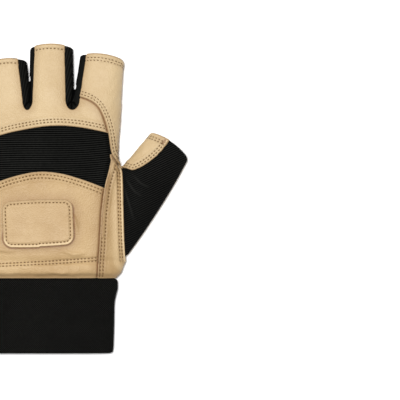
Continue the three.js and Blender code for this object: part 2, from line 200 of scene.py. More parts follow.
# The double row of stitches above the wrist
band_line = [(-1.3, 0.054), (-0.429, 0.0755), (0.179, 0.090), (0.742, 0.108), (0.95, 0.1145)]
# The slits between the fingers: from the top of the left side, round the bottom, up the right side
slits = {
    "index_middle": [(0.438, 1.5), (0.438, 1.252), (0.4424, 1.158), (0.452, 1.108), (0.461, 1.111),
                     (0.4711, 1.155), (0.4902, 1.1985), (0.5152, 1.2858), (0.545, 1.5)],
    "middle_ring": [(-0.13, 1.5), (-0.124, 1.305), (-0.115, 1.2565), (-0.099, 1.205), (-0.09, 1.155),
                    (-0.083, 1.155), (-0.0865, 1.205), (-0.0865, 1.5)],
    "ring_little": [(-0.74, 1.5), (-0.67, 1.2), (-0.652, 1.15), (-0.625, 1.1), (-0.6, 1.045),
                    (-0.592, 1.045), (-0.594, 1.1), (-0.6, 1.2), (-0.605, 1.5)],
}
# The seams in the fabric below each slit: a stem and two branches
creases = {
    "index_middle": ([(0.459, 1.125), (0.4437, 1.07), (0.427, 1.035)],
                     [(0.385, 1.014), (0.427, 1.035), (0.4675, 1.016)], [(0.4265, 1.022), (0.4258, 0.997)]),
    "middle_ring": ([(-0.0787, 1.17), (-0.0787, 1.07), (-0.08, 1.035)],
                    [(-0.1288, 1.006), (-0.08, 1.035), (-0.0525, 1.022)]),
    "ring_little": ([(-0.596, 1.07), (-0.6, 1.0), (-0.605, 0.96)],
                    [(-0.65, 0.935), (-0.605, 0.96), (-0.57, 0.945)]),
}
# Soft folds in the thumb's fabric, fanning out from its root
thumb_folds = [[(1.07, 0.585), (1.17, 0.51), (1.27, 0.475)], [(1.05, 0.53), (1.12, 0.42), (1.17, 0.33)],
               [(1.16, 0.6), (1.26, 0.55), (1.36, 0.53)]]

# Soft wrinkles in the heel above the wrist
heel_folds = [[(-0.66, 0.17), (-0.56, 0.125), (-0.5, 0.085)], [(-0.6, 0.2), (-0.4, 0.165), (-0.22, 0.16)],
              [(-0.62, 0.055), (-0.5, 0.035), (-0.4, 0.04)], [(0.1, 0.045), (0.3, 0.03), (0.42, 0.04)],
              [(0.3, 0.17), (0.45, 0.14), (0.62, 0.15)], [(0.35, 0.42), (0.46, 0.34), (0.5, 0.25)]]


# Curves and fields over the plan
def through(xs, ys, x):
    """A smooth line through the points of a table, without overshoot, held level past its ends."""
    step = np.diff(xs)
    slope = np.diff(ys) / step
    tangent = np.empty(len(xs))
    tangent[0], tangent[-1] = slope[0], slope[-1]
    same = slope[:-1] * slope[1:] > 0
    total = np.where(same, slope[:-1] + slope[1:], 1)
    tangent[1:-1] = np.where(same, 2 * slope[:-1] * slope[1:] / total, 0)
    i = np.clip(np.searchsorted(xs, x) - 1, 0, len(xs) - 2)
    t = np.clip((x - xs[i]) / step[i], 0, 1)
    a = (2 * t - 3) * t * t + 1
    b = ((t - 2) * t + 1) * t * step[i]
    c = (t - 1) * t * t * step[i]
    return a * ys[i] + b * tangent[i] + (1 - a) * ys[i + 1] + c * tangent[i + 1]


def spline(points, spacing=2.0 * MM):
    """Evenly spaced points on a Catmull-Rom curve through a few plan points."""
    p = np.array(points, float)
    p = np.vstack([2 * p[0] - p[1], p, 2 * p[-1] - p[-2]])
    t = np.linspace(0, 1, 24, endpoint=False)[:, None]
    spans = [
        0.5 * (2 * b + (c - a) * t + (2 * a - 5 * b + 4 * c - d) * t**2 + (3 * b - a - 3 * c + d) * t**3)
        for a, b, c, d in zip(p, p[1:], p[2:], p[3:])
    ]
    return even(np.vstack([*spans, p[-2]]), spacing)


def lengths(line):
    """How far along a line each of its points is."""
    return np.concatenate([[0], np.cumsum(np.linalg.norm(np.diff(line, axis=0), axis=1))])


def even(line, spacing):
    """A line's points again, evenly spaced."""
    at = lengths(line)
    places = np.linspace(0, at[-1], max(2, int(round(at[-1] / spacing)) + 1))
    return np.stack([np.interp(places, at, line[:, k]) for k in range(2)], axis=1)


def beside(points, line):
    """Distance to a line, positive on its left, and how far along the line the nearest place is."""
    best = np.full(len(points), np.inf)
    side = np.ones(len(points))
    along = np.zeros(len(points))
    at = lengths(line)
    for k, (a, b) in enumerate(zip(line, line[1:])):
        span = b - a
        length = np.linalg.norm(span)
        rel = points - a
        t = np.clip(rel @ span / length**2, 0, 1)
        off = rel - t[:, None] * span
        far = np.einsum("ij,ij->i", off, off)
        near = far < best
        best[near] = far[near]
        side[near] = np.sign(span[0] * rel[near, 1] - span[1] * rel[near, 0])
        along[near] = at[k] + t[near] * length
    return np.sqrt(best) * np.where(side == 0, 1, side), along


def inside(points, outline):
    """Distance to a closed outline, positive inside it."""
    loop = np.vstack([outline, outline[:1]])
    far = np.abs(beside(points, loop)[0])
    x, y = points[:, 0], points[:, 1]
    crossed = np.zeros(len(points), bool)
    for a, b in zip(loop, loop[1:]):
        over = (a[1] > y) != (b[1] > y)
        climb = np.where(over, b[1] - a[1], 1)
        crossed ^= over & (x < a[0] + (y - a[1]) * (b[0] - a[0]) / climb)
    return np.where(crossed, far, -far)


# The hollow form as a field of distances
class Tube:
    """A flattened tube along a plan axis, from sections of a left and a right side and a depth."""

    def __init__(self, start, lean, at, left, right, depth, roundness):
        turn = math.radians(lean)
        self.start = np.array(start)
        self.ahead = np.array([math.sin(turn), math.cos(turn)])
        self.side = np.array([math.cos(turn), -math.sin(turn)])
        self.at, self.left, self.right, self.depth = at, left, right, depth
        self.roundness = roundness

    def place(self, x, y):
        """How far along and across the axis a plan point is."""
        rx, ry = x - self.start[0], y - self.start[1]
        return rx * self.ahead[0] + ry * self.ahead[1], rx * self.side[0] + ry * self.side[1]

    def point(self, along, across):
        return self.start + along * self.ahead + across * self.side

    def section(self, along):
        left = through(self.at, self.left, along)
        right = through(self.at, self.right, along)
        return (left + right) / 2, (right - left) / 2, through(self.at, self.depth, along)

    def distance(self, x, y, z, end=None, soft=3 * MM):
        """About how far a point is outside the tube. end caps it there, with a soft corner."""
        along, across = self.place(x, y)
        half, middle, depth = self.section(along)
        p = self.roundness
        u = np.abs(across - middle) / half + 1e-6
        rise = np.where(z > SIDE_SEAM_HEIGHT, depth - SIDE_SEAM_HEIGHT, SIDE_SEAM_HEIGHT + FLOOR_FLAT)
        v = np.abs(z - SIDE_SEAM_HEIGHT) / rise + 1e-6
        reach = (u**p + v**p) ** (1 / p)
        steep = reach ** (1 - p) * np.hypot(u ** (p - 1) / half, v ** (p - 1) / rise)
        far = (reach - 1) / steep
        far = soft_max(far, self.at[0] - along + 0 * z, soft)
        return far if end is None else soft_max(far, along - end + 0 * z, soft)


def soft_min(a, b, k):
    h = np.clip(0.5 + 0.5 * (b - a) / k, 0, 1)
    return b + (a - b) * h - k * h * (1 - h)


def soft_max(a, b, k):
    return -soft_min(-a, -b, k)


palm = Tube(on_palm((0, 0)), 0, palm_rows["along"] * PALM_LENGTH, palm_rows["left"] * PALM_WIDTH / 2,
            palm_rows["right"] * PALM_WIDTH / 2, palm_rows["depth"] * PALM_DEPTH, PALM_ROUNDNESS)
thumb_half = thumb_rows["width"] * THUMB_WIDTH / 2
thumb = Tube(on_palm(THUMB_ROOT), THUMB_LEAN, thumb_rows["along"] * THUMB_LENGTH, thumb_half, thumb_half,
             thumb_rows["depth"] * THUMB_DEPTH, FINGER_ROUNDNESS)


def taper(f, share):
    """A finger's width between its root and its tip, as a share of the usual width."""
    return f["root_width"] * (1 - share) + f["tip_width"] * share


def finger_tube(f):
    along = finger_rows["along"]
    at = np.where(along < 0, along * FINGER_LENGTH, along * f["length"] * FINGER_LENGTH)
    half = finger_rows["width"] * taper(f, np.maximum(along, 0)) * FINGER_WIDTH / 2
    depth = finger_rows["depth"] * f["depth"] * FINGER_DEPTH
    return Tube(on_palm((f["root"], 1)), f["lean"], at, half, half, depth, FINGER_ROUNDNESS)


tubes = {name: finger_tube(f) for name, f in fingers.items()}
RUN_OUT = 4 * MM
PALM_END = 1.04 * PALM_LENGTH
PALM_END_BLEND = 6 * MM
FINGER_BLEND = 1.0 * MM
PALM_BLEND = 2.5 * MM
THUMB_BLEND = 3.0 * MM
SLIT_BLEND = 1.2 * MM
FLOOR_BLEND = 0.8 * MM
SLITS_FROM = 0.95
slit_outlines = [np.array([on_palm(p) for p in points]) for points in slits.values()]


def in_slits(x, y):
    """Positive in the slits between the fingers."""
    x, y = np.broadcast_arrays(x, y)
    plan = np.stack([x.ravel(), y.ravel()], axis=1).astype(float)
    deep = np.full(len(plan), -1.0)
    near = plan[:, 1] > WRIST_Y + SLITS_FROM * PALM_LENGTH
    deep[near] = np.max([inside(plan[near], outline) for outline in slit_outlines], axis=0)
    return deep.reshape(x.shape)


def form_parts(x, y, z):
    """Distances to the palm, to each finger and to the thumb."""
    parts = [palm.distance(x, y, z, PALM_END, PALM_END_BLEND)]
    for tube in (*tubes.values(), thumb):
        parts.append(tube.distance(x, y, z, tube.at[-1] + RUN_OUT))
    return parts


def form_distance(x, y, z):
    palm_far, *finger_far, thumb_far = form_parts(x, y, z)
    near = finger_far[0]
    for far in finger_far[1:]:
        near = soft_min(near, far, FINGER_BLEND)
    near = soft_min(near, palm_far, PALM_BLEND)
    near = soft_min(near, thumb_far, THUMB_BLEND)
    near = soft_max(near, in_slits(x, y), SLIT_BLEND)
    return soft_max(near, -z + 0 * near, FLOOR_BLEND)


CORNERS = [(i, j, k) for i in (0, 1) for j in (0, 1) for k in (0, 1)]
EDGES = [(a, b) for a in range(8) for b in range(a + 1, 8)
         if sum(abs(p - q) for p, q in zip(CORNERS[a], CORNERS[b])) == 1]


def surface_net(low, high, step):
    """The form's surface as points and triangles facing out, on a grid of the given step."""
    axes = [np.arange(a, b + step, step, dtype=np.float32) for a, b in zip(low, high)]
    x, y, z = axes[0][:, None, None], axes[1][None, :, None], axes[2][None, None, :]
    field = form_distance(x, y, z)
    n = [s - 1 for s in field.shape]
    corner = [field[i:i + n[0], j:j + n[1], k:k + n[2]] for i, j, k in CORNERS]
    within = np.stack([c < 0 for c in corner])
    live = within.any(0) & ~within.all(0)
    cells = np.argwhere(live)
    number = np.full(live.shape, -1)
    number[live] = np.arange(len(cells))
    values = np.stack([c[live] for c in corner])
    total = np.zeros((len(cells), 3))
    count = np.zeros(len(cells))
    for a, b in EDGES:
        va, vb = values[a], values[b]
        cross = (va < 0) != (vb < 0)
        t = np.where(cross, va / np.where(cross, va - vb, 1), 0)
        place = np.array(CORNERS[a]) + t[:, None] * (np.array(CORNERS[b]) - np.array(CORNERS[a]))
        total += np.where(cross[:, None], place, 0)
        count += cross
    points = np.array([a[0] for a in axes]) + (cells + total / count[:, None]) * step
    quads = []
    for axis in range(3):
        u, v = (axis + 1) % 3, (axis + 2) % 3
        first = np.moveaxis(field, (axis, u, v), (0, 1, 2))
        ids = np.moveaxis(number, (axis, u, v), (0, 1, 2))
        a, b = first[:-1, 1:-1, 1:-1] < 0, first[1:, 1:-1, 1:-1] < 0
        around = np.stack([ids[:, :-1, :-1], ids[:, 1:, :-1], ids[:, 1:, 1:], ids[:, :-1, 1:]], axis=-1)
        quads.append(around[a & ~b])
        quads.append(around[~a & b][:, ::-1])
    quads = np.vstack(quads)
    return points, np.vstack([quads[:, [0, 1, 2]], quads[:, [0, 2, 3]]])


SETTLE_MOST = 0.5 * MM
SETTLE_PROBE = 0.05 * MM
FLATTEST = 0.05


def settled(points, rounds=3):
    """Points moved onto the form's surface, with its normals."""
    h = SETTLE_PROBE
    for k in range(rounds + 1):
        x, y, z = points.T
        slope = np.stack([
            form_distance(x + h, y, z) - form_distance(x - h, y, z),
            form_distance(x, y + h, z) - form_distance(x, y - h, z),
            form_distance(x, y, z + h) - form_distance(x, y, z - h),
        ], axis=1) / (2 * h)
        size = np.maximum(np.einsum("ij,ij->i", slope, slope), FLATTEST)
        if k < rounds:
            move = np.clip(form_distance(x, y, z), -SETTLE_MOST, SETTLE_MOST) / size
            points = points - slope * move[:, None]
    return points, slope / np.sqrt(size)[:, None]


# Pieces of the form
SNAP = 0.05 * MM


def mixed(values, ends, share):
    """Values between two points of a mesh: ends are their numbers, share how far along."""
    share = share.reshape(-1, *[1] * (values.ndim - 1))
    return values[ends[:, 0]] * (1 - share) + values[ends[:, 1]] * share


def unit(vectors):
    return vectors / np.maximum(np.linalg.norm(vectors, axis=-1, keepdims=True), 1e-9)


class Skin:
    """Part of the form's surface: points, outward normals, triangles, and how far each point lies
    back from the nearest finger's opening."""

    def __init__(self, points, normals, triangles, tips):
        self.points, self.normals, self.triangles, self.tips = points, normals, triangles, tips

    @property
    def plan(self):
        return self.points[:, :2]

    def only(self, triangles):
        used, again = np.unique(triangles, return_inverse=True)
        return Skin(self.points[used], self.normals[used], again.reshape(-1, 3), self.tips[used])

    def cut(self, *rules):
        """The part where every rule is positive, cut exactly along its zero line."""
        skin = self
        for rule in rules:
            skin = skin.clipped(rule(skin))
        return skin

    def clipped(self, value):
        value = np.where(np.abs(value) < SNAP, 0.0, value)
        kept = value >= 0
        tri = self.triangles
        count = kept[tri].sum(1)
        parts = [tri[count == 3]]
        pairs = []
        for number, lone in ((1, True), (2, False)):
            some = tri[count == number]
            first = np.argmax(kept[some] == lone, axis=1)
            pairs.append([some[np.arange(len(some)), (first + k) % 3] for k in range(3)])
        (a1, b1, c1), (a2, b2, c2) = pairs
        ends = np.vstack([np.c_[a1, b1], np.c_[a1, c1], np.c_[b2, a2], np.c_[c2, a2]])
        edges, which = np.unique(ends, axis=0, return_inverse=True)
        ab1, ac1, ba2, ca2 = np.split(which.ravel() + len(value), np.cumsum([len(a1), len(a1), len(a2)]))
        parts += [np.c_[a1, ab1, ac1], np.c_[ba2, b2, c2], np.c_[ba2, c2, ca2]]
        share = value[edges[:, 0]] / (value[edges[:, 0]] - value[edges[:, 1]])
        triangles = np.vstack(parts)
        a, b, c = triangles.T
        triangles = triangles[(a != b) & (b != c) & (c != a)]
        fields = [np.concatenate([v, mixed(v, edges, share)]) for v in (self.points, self.normals, self.tips)]
        return Skin(fields[0], unit(fields[1]), triangles, fields[2]).only(triangles)

    def largest(self):
        """Only the biggest connected part."""
        label = np.arange(len(self.points))
        tri = self.triangles
        while True:
            low = label[tri].min(1)
            new = label.copy()
            for k in range(3):
                np.minimum.at(new, tri[:, k], low)
            new = new[new]
            if (new == label).all():
                break
            label = new
        names, sizes = np.unique(label[tri[:, 0]], return_counts=True)
        return self.only(tri[label[tri[:, 0]] == names[np.argmax(sizes)]])


# Shapes across a seam
def rise(x):
    """0 below 0, 1 above 1, smooth between."""
    x = np.clip(x, 0, 1)
    return x * x * (3 - 2 * x)


def fall(distance, width):
    """1 at a line, 0 further than width from it."""
    return 1 - rise(distance / width)


def ridge(distance, at, width):
    return np.exp(-(((distance - at) / width) ** 2))


WAVES = 7


def waver(points, wavelength, seed):
    """Smooth unevenness of about unit height."""
    source = np.random.default_rng(seed)
    total = np.zeros(len(points))
    for _ in range(WAVES):
        way = source.normal(size=3)
        way /= np.linalg.norm(way)
        wave = wavelength * source.uniform(0.7, 1.5)
        total += np.sin(points @ way * 2 * math.pi / wave + source.uniform(0, 6.3))
    return total / math.sqrt(WAVES / 2)


def uneven(points, seed, tall=0.06 * MM):
    return tall * (waver(points, 14 * MM, seed) + 0.5 * waver(points, 5 * MM, seed + 1))


# Mesh objects
def new_object(name, points, faces, looks, look_of, values, node=None):
    """A smooth mesh object that rides on the glove. It may stand for a node and take a finish."""
    mesh = bpy.data.meshes.new(name)
    mesh.from_pydata(points.tolist(), [], faces.tolist())
    for look in looks:
        mesh.materials.append(look)
    mesh.polygons.foreach_set("material_index", np.asarray(look_of, np.int32))
    mesh.polygons.foreach_set("use_smooth", np.ones(len(mesh.polygons), bool))
    for key, value in values.items():
        mesh.attributes.new(key, "FLOAT", "POINT").data.foreach_set("value", np.asarray(value, np.float32))
    mesh.update()
    made = bpy.data.objects.new(name, mesh)
    bpy.context.scene.collection.objects.link(made)
    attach(made, "root")
    if node:
        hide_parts(node)


RIM_RINGS = 5


def open_edges(triangles):
    """The edges with a triangle on one side only, each with the surface on its left."""
    edges = np.vstack([triangles[:, [0, 1]], triangles[:, [1, 2]], triangles[:, [2, 0]]])
    size = triangles.max() + 1
    return edges[~np.isin(edges[:, 0] * size + edges[:, 1], edges[:, 1] * size + edges[:, 0])]


def wall_mesh(skin, level, wall):
    """Points, faces and each face's kind (0 face, 1 rim, 2 inside) of a wall with a rolled edge."""
    outer = skin.points + skin.normals * level[:, None]
    inner = outer - skin.normals * wall[:, None]
    edges = open_edges(skin.triangles)
    along = outer[edges[:, 1]] - outer[edges[:, 0]]
    away = np.zeros_like(outer)
    for k in (0, 1):
        np.add.at(away, edges[:, k], np.cross(along, skin.normals[edges[:, k]]))
    rim = np.unique(edges)
    away = unit(away[rim])
    count = len(outer)
    points, rings = [outer, inner], [rim]
    for k in range(1, RIM_RINGS):
        turn = math.pi * k / RIM_RINGS
        share = (1 - math.cos(turn)) / 2
        ring = outer[rim] * (1 - share) + inner[rim] * share
        points.append(ring + away * (wall[rim] / 2 * math.sin(turn))[:, None])
        rings.append(2 * count + (k - 1) * len(rim) + np.arange(len(rim)))
    rings.append(rim + count)
    number = np.zeros(count, int)
    number[rim] = np.arange(len(rim))
    a, b = number[edges[:, 0]], number[edges[:, 1]]
    faces = [skin.triangles]
    for upper, lower in zip(rings, rings[1:]):
        faces += [np.c_[upper[b], upper[a], lower[a]], np.c_[upper[b], lower[a], lower[b]]]
    faces.append(skin.triangles[:, ::-1] + count)
    kinds = np.repeat([0, 1, 2], [len(skin.triangles), sum(map(len, faces[1:-1])), len(skin.triangles)])
    source = np.concatenate([np.arange(count), np.arange(count)] + [rim] * (RIM_RINGS - 1))
    return np.vstack(points), np.vstack(faces), kinds, source


# Rows of stitches
FAR = 1.0
ROW_REACH = 1.3 * MM
ROW_NEAR = 2 * MM
FEWEST_STITCHES = 3
SAMPLES = 5


def row_lines(skin, field, where):
    """Where a field is zero on a skin, as chains of places: two points' numbers and a share."""
    tri = skin.triangles[where[skin.triangles].all(1)]
    above = field > 0
    count = above[tri].sum(1)
    tri = tri[(count == 1) | (count == 2)]
    if not len(tri):
        return []
    lone = above[tri] == (above[tri].sum(1) == 1)[:, None]
    first = np.argmax(lone, axis=1)
    a, b, c = (tri[np.arange(len(tri)), (first + k) % 3] for k in range(3))
    ends = np.sort(np.stack([np.c_[a, b], np.c_[a, c]], axis=1), axis=2)
    edges, which = np.unique(ends.reshape(-1, 2), axis=0, return_inverse=True)
    share = field[edges[:, 0]] / (field[edges[:, 0]] - field[edges[:, 1]])
    nearby = [[] for _ in edges]
    for p, q in which.reshape(-1, 2).tolist():
        nearby[p].append(q)
        nearby[q].append(p)
    left = np.ones(len(edges), bool)
    chains = []
    for start in sorted(range(len(edges)), key=lambda k: len(nearby[k])):
        if not left[start]:
            continue
        chain = [start]
        left[start] = False
        while True:
            following = [k for k in nearby[chain[-1]] if left[k]]
            if not following:
                break
            chain.append(following[0])
            left[following[0]] = False
        if len(chain) > 2 and chain[0] in nearby[chain[-1]]:
            chain.append(chain[0])
        chains.append((edges[chain], share[chain]))
    return chains


def sewn(skin, rows):
    """The chains of a skin's rows, and for each point the distance to the nearest row and how many
    stitches along it the point is."""
    near = np.full(len(skin.points), FAR)
    run = np.zeros(len(skin.points))
    chains = []
    for field, where in rows:
        for ends, share in row_lines(skin, field, where):
            path = mixed(skin.points, ends, share)
            at = lengths(path)
            if at[-1] < FEWEST_STITCHES * PITCH:
                continue
            stitches = round(at[-1] / PITCH)
            chains.append((ends, share, stitches))
            places = np.linspace(0, at[-1], SAMPLES * stitches + 1)
            samples = np.stack([np.interp(places, at, path[:, k]) for k in range(3)], axis=1)
            ahead = unit(np.gradient(samples, axis=0))
            tree = KDTree(len(samples))
            for k, sample in enumerate(samples):
                tree.insert(sample, k)
            tree.balance()
            for k in np.flatnonzero(np.abs(field) < np.minimum(near, ROW_REACH)):
                _, nearest, gap = tree.find(skin.points[k])
                if gap < ROW_NEAR:
                    step = (skin.points[k] - samples[nearest]) @ ahead[nearest]
                    run[k] = (places[nearest] + step) * stitches / at[-1]
                    near[k] = abs(field[k])
    return chains, near, run


THREAD_RINGS = 5
THREAD_SIDES = 6
STITCH_LIFT = 0.2 * MM
STITCH_SINK = 0.5 * MM
STITCH_STRAY = 0.05 * MM
ROW_DEPTH = 0.3 * MM
ROW_WIDTH = 0.7 * MM


def add_stitches(name, outer, normals, chains, seed):
    """Every stitch of the chains as a short thread whose ends sink into the leather."""
    source = np.random.default_rng(seed)
    reach = np.linspace(-1, 1, THREAD_RINGS)
    turn = np.arange(THREAD_SIDES) * 2 * math.pi / THREAD_SIDES
    lift = STITCH_LIFT - STITCH_SINK * reach**4
    thick = THREAD * np.sqrt(1 - 0.98 * reach**2)
    rings = []
    for ends, share, stitches in chains:
        path, normal = mixed(outer, ends, share), mixed(normals, ends, share)
        at = lengths(path)
        pitch = at[-1] / stitches
        middle = (np.arange(stitches) + 0.5) * pitch + source.normal(0, STITCH_STRAY, stitches)
        half = STITCH / 2 * source.uniform(0.9, 1.1, stitches)
        places = middle[:, None] + half[:, None] * reach
        p, n = (np.stack([np.interp(places, at, v[:, k]) for k in range(3)], axis=-1) for v in (path, normal))
        n = unit(n)
        side = unit(np.cross(unit(p[:, -1:] - p[:, :1]), n))
        side = unit(side + n * source.normal(0, 0.08, (stitches, 1, 1)))
        p = p + n * lift[:, None]
        round_it = n[:, :, None] * np.sin(turn)[:, None] + side[:, :, None] * np.cos(turn)[:, None]
        rings.append(p[:, :, None] + round_it * thick[:, None, None])
    points = np.concatenate(rings)
    count = len(points)
    first = np.arange(count)[:, None, None] * THREAD_RINGS * THREAD_SIDES
    r = np.arange(THREAD_RINGS - 1)[:, None] * THREAD_SIDES
    s = np.arange(THREAD_SIDES)
    s2 = (s + 1) % THREAD_SIDES
    quads = [first + r + s, first + r + s2, first + r + THREAD_SIDES + s2, first + r + THREAD_SIDES + s]
    faces = np.stack([q.ravel() for q in np.broadcast_arrays(*quads)], axis=1)
    new_object(name + "_stitches", points.reshape(-1, 3), faces, [thread], np.zeros(len(faces)), {})


def add_leather(node, look, skin, level, rows, edge, shadow_edge, wall=None, seed=1, painted_highlight=None):
    """A leather panel with its stitches. edge is the distance to its laid-over edges, the shadow field the
    distance to those that lie under a neighbour, where painted shadow and shade are laid, and the highlight
    field is 1 where a painted highlight lightens the leather."""
    chains, near, run = sewn(skin, rows)
    level = level - ROW_DEPTH * ridge(near, 0, ROW_WIDTH)
    wall = np.full(len(level), LEATHER) if wall is None else wall
    points, faces, kinds, source = wall_mesh(skin, level, wall)
    painted_highlight = np.zeros(len(level)) if painted_highlight is None else painted_highlight
    values = {"row": near, "run": run, "painted_highlight": painted_highlight,
              "edge": np.clip(edge, 0, FAR), "shadow_edge": np.clip(shadow_edge, 0, FAR)}
    values = {key: value[source] for key, value in values.items()}
    looks = [look, edge_look, flesh_look]
    new_object(node + "_leather", points, faces, looks, kinds, values, node)
    if chains:
        outer = skin.points + skin.normals * level[:, None]
        add_stitches(node, outer, skin.normals, chains, seed)


def add_fabric(node, look, skin, level, values):
    points, faces, kinds, source = wall_mesh(skin, level, np.full(len(level), FABRIC))
    values = {key: value[source] for key, value in values.items()}
    new_object(node + "_fabric", points, faces, [look], np.zeros(len(faces)), values, node)


# Plan curves
def on_thumb(place):
    return thumb.point(place[1] * THUMB_LENGTH, place[0] * THUMB_WIDTH / 2)


def curve(points):
    return spline([on_palm(p) for p in points])


line = {
    "knuckle": curve(knuckle_arch), "heel": curve(heel_arch), "index": curve(index_seam),
    "strip_in": curve(strip_inner), "strip_out": curve(strip_outer), "thenar": curve(thenar_seam),
    "band": curve(band_line), "thumb": spline([on_thumb(p) for p in thumb_seam]),
}
far_out = {name: on_palm(place)[None] for name, place in {
    "tip_left": (-1.7, 1.7), "wrist_left": (-1.7, -0.2), "between": (0.5, 1.7), "tip_right": (1.4, 1.7),
    "notch": (1.1, 0.75), "thumb_top": (1.25, 1.2), "thumb_far": (2.4, 0.9), "thumb_low": (1.6, 0.08),
    "wrist_right": (1.4, -0.2), "wrist_middle": (0.72, -0.2)}.items()}
junction = on_palm(strip_inner[0])
index_above = line["index"][line["index"][:, 1] > junction[1] + SEAM_GAP]
index_below = line["index"][line["index"][:, 1] < junction[1] - SEAM_GAP]


def outline(*parts):
    return np.vstack([far_out[p] if isinstance(p, str) else p for p in parts])


region = {
    "index": outline(line["index"], "notch", "thumb_top", "tip_right", "between"),
    "back": outline(index_above, line["strip_in"], "wrist_left", "tip_left", "between"),
    "strip": outline(junction[None], index_below, line["strip_out"][1:], "thumb_low", "wrist_right",
                     "wrist_middle", line["strip_in"][1:][::-1]),
    "thumb": outline(line["strip_out"], "thumb_low", "thumb_far", "thumb_top", "notch"),
    "thenar": outline(line["thenar"], "thumb_far", "thumb_top", "notch"),
}
WEB_DROP = {"index_middle": 0.02, "middle_ring": 0.02, "ring_little": 0.07}
WEB_ROUND = 0.22
UNDER_SHARE = 0.45
WEBS = {"index_middle": ("middle", "index"), "middle_ring": ("ring", "middle"),
        "ring_little": ("little", "ring")}


def web_outline(name, shown):
    """The sidewalls between two fingers: down one strip's edge, round under the web and up the other."""
    def side(finger, sign, strip, ahead):
        tube = tubes[finger]
        width = taper(fingers[finger], max(ahead / tube.at[-1], 0)) * FINGER_WIDTH
        return tube.point(ahead, sign * (width / 2 - shown * strip * FINGER_WIDTH))

    low, high = WEBS[name]
    base = -WEB_DROP[name] * PALM_LENGTH + WEB_ROUND * FINGER_WIDTH

    def left(ahead):
        return side(low, 1, fingers[low]["right_strip"], ahead)

    def right(ahead):
        return side(high, -1, fingers[high]["left_strip"], ahead)

    a, b = left(base), right(base)
    radius = np.linalg.norm(b - a) / 2
    turn = np.linspace(math.pi, 2 * math.pi, 25)
    round_end = (a + b) / 2 + np.c_[radius * np.cos(turn), WEB_ROUND * FINGER_WIDTH * np.sin(turn)]
    tip_left, tip_right = tubes[low].at[-1], tubes[high].at[-1]
    past = 8 * MM
    return np.vstack([left(tip_left + past), left(tip_left), left(tip_left / 2), round_end,
                      right(tip_right / 2), right(tip_right), right(tip_right + past)])


def in_web(skin, name):
    """Positive in the sidewalls' region, which is narrower on the palm side."""
    upper = inside(skin.plan, web_outline(name, 1.0))
    lower = inside(skin.plan, web_outline(name, UNDER_SHARE))
    share = rise((skin.points[:, 2] - SIDE_SEAM_HEIGHT) / MM + 0.5)
    return lower * (1 - share) + upper * share


def out_of_webs(skin):
    return -np.max([in_web(skin, name) for name in WEBS], axis=0)


def back_from_tips(points):
    """How far each point lies back from the opening of its nearest finger, or of the thumb."""
    x, y, z = points.T
    far, ahead = [], []
    for name, tube in (*tubes.items(), ("thumb", thumb)):
        far.append(tube.distance(x, y, z))
        along, across = tube.place(x, y)
        half, middle, _ = tube.section(along)
        corner = np.where(across < middle, *THUMB_CORNERS) if name == "thumb" else TIP_CORNER
        into = np.clip(1 + (np.abs(across - middle) - half) / corner, 0, 1)
        bow = OPENING_BOW * ((across - middle) / half) ** 2 + 0.8 * corner * (1 - np.sqrt(1 - into**2))
        reach = tube.at[-1] + (THUMB_REACH if name == "thumb" else 0)
        ahead.append(reach - bow - EDGE - along)
    return np.array(ahead)[np.argmin(far, axis=0), np.arange(len(x))]


def from_wrist(skin):
    return skin.plan[:, 1] - WRIST_Y


def above_waist(skin):
    return skin.points[:, 2] - SIDE_SEAM_HEIGHT


# Materials
def rgb(r, g, b):
    """A colour from its 0 to 255 screen values, as the linear values that a shader takes."""
    return tuple((v / 255 / 12.92 if v / 255 <= 0.04045 else ((v / 255 + 0.055) / 1.055) ** 2.4)
                 for v in (r, g, b)) + (1.0,)


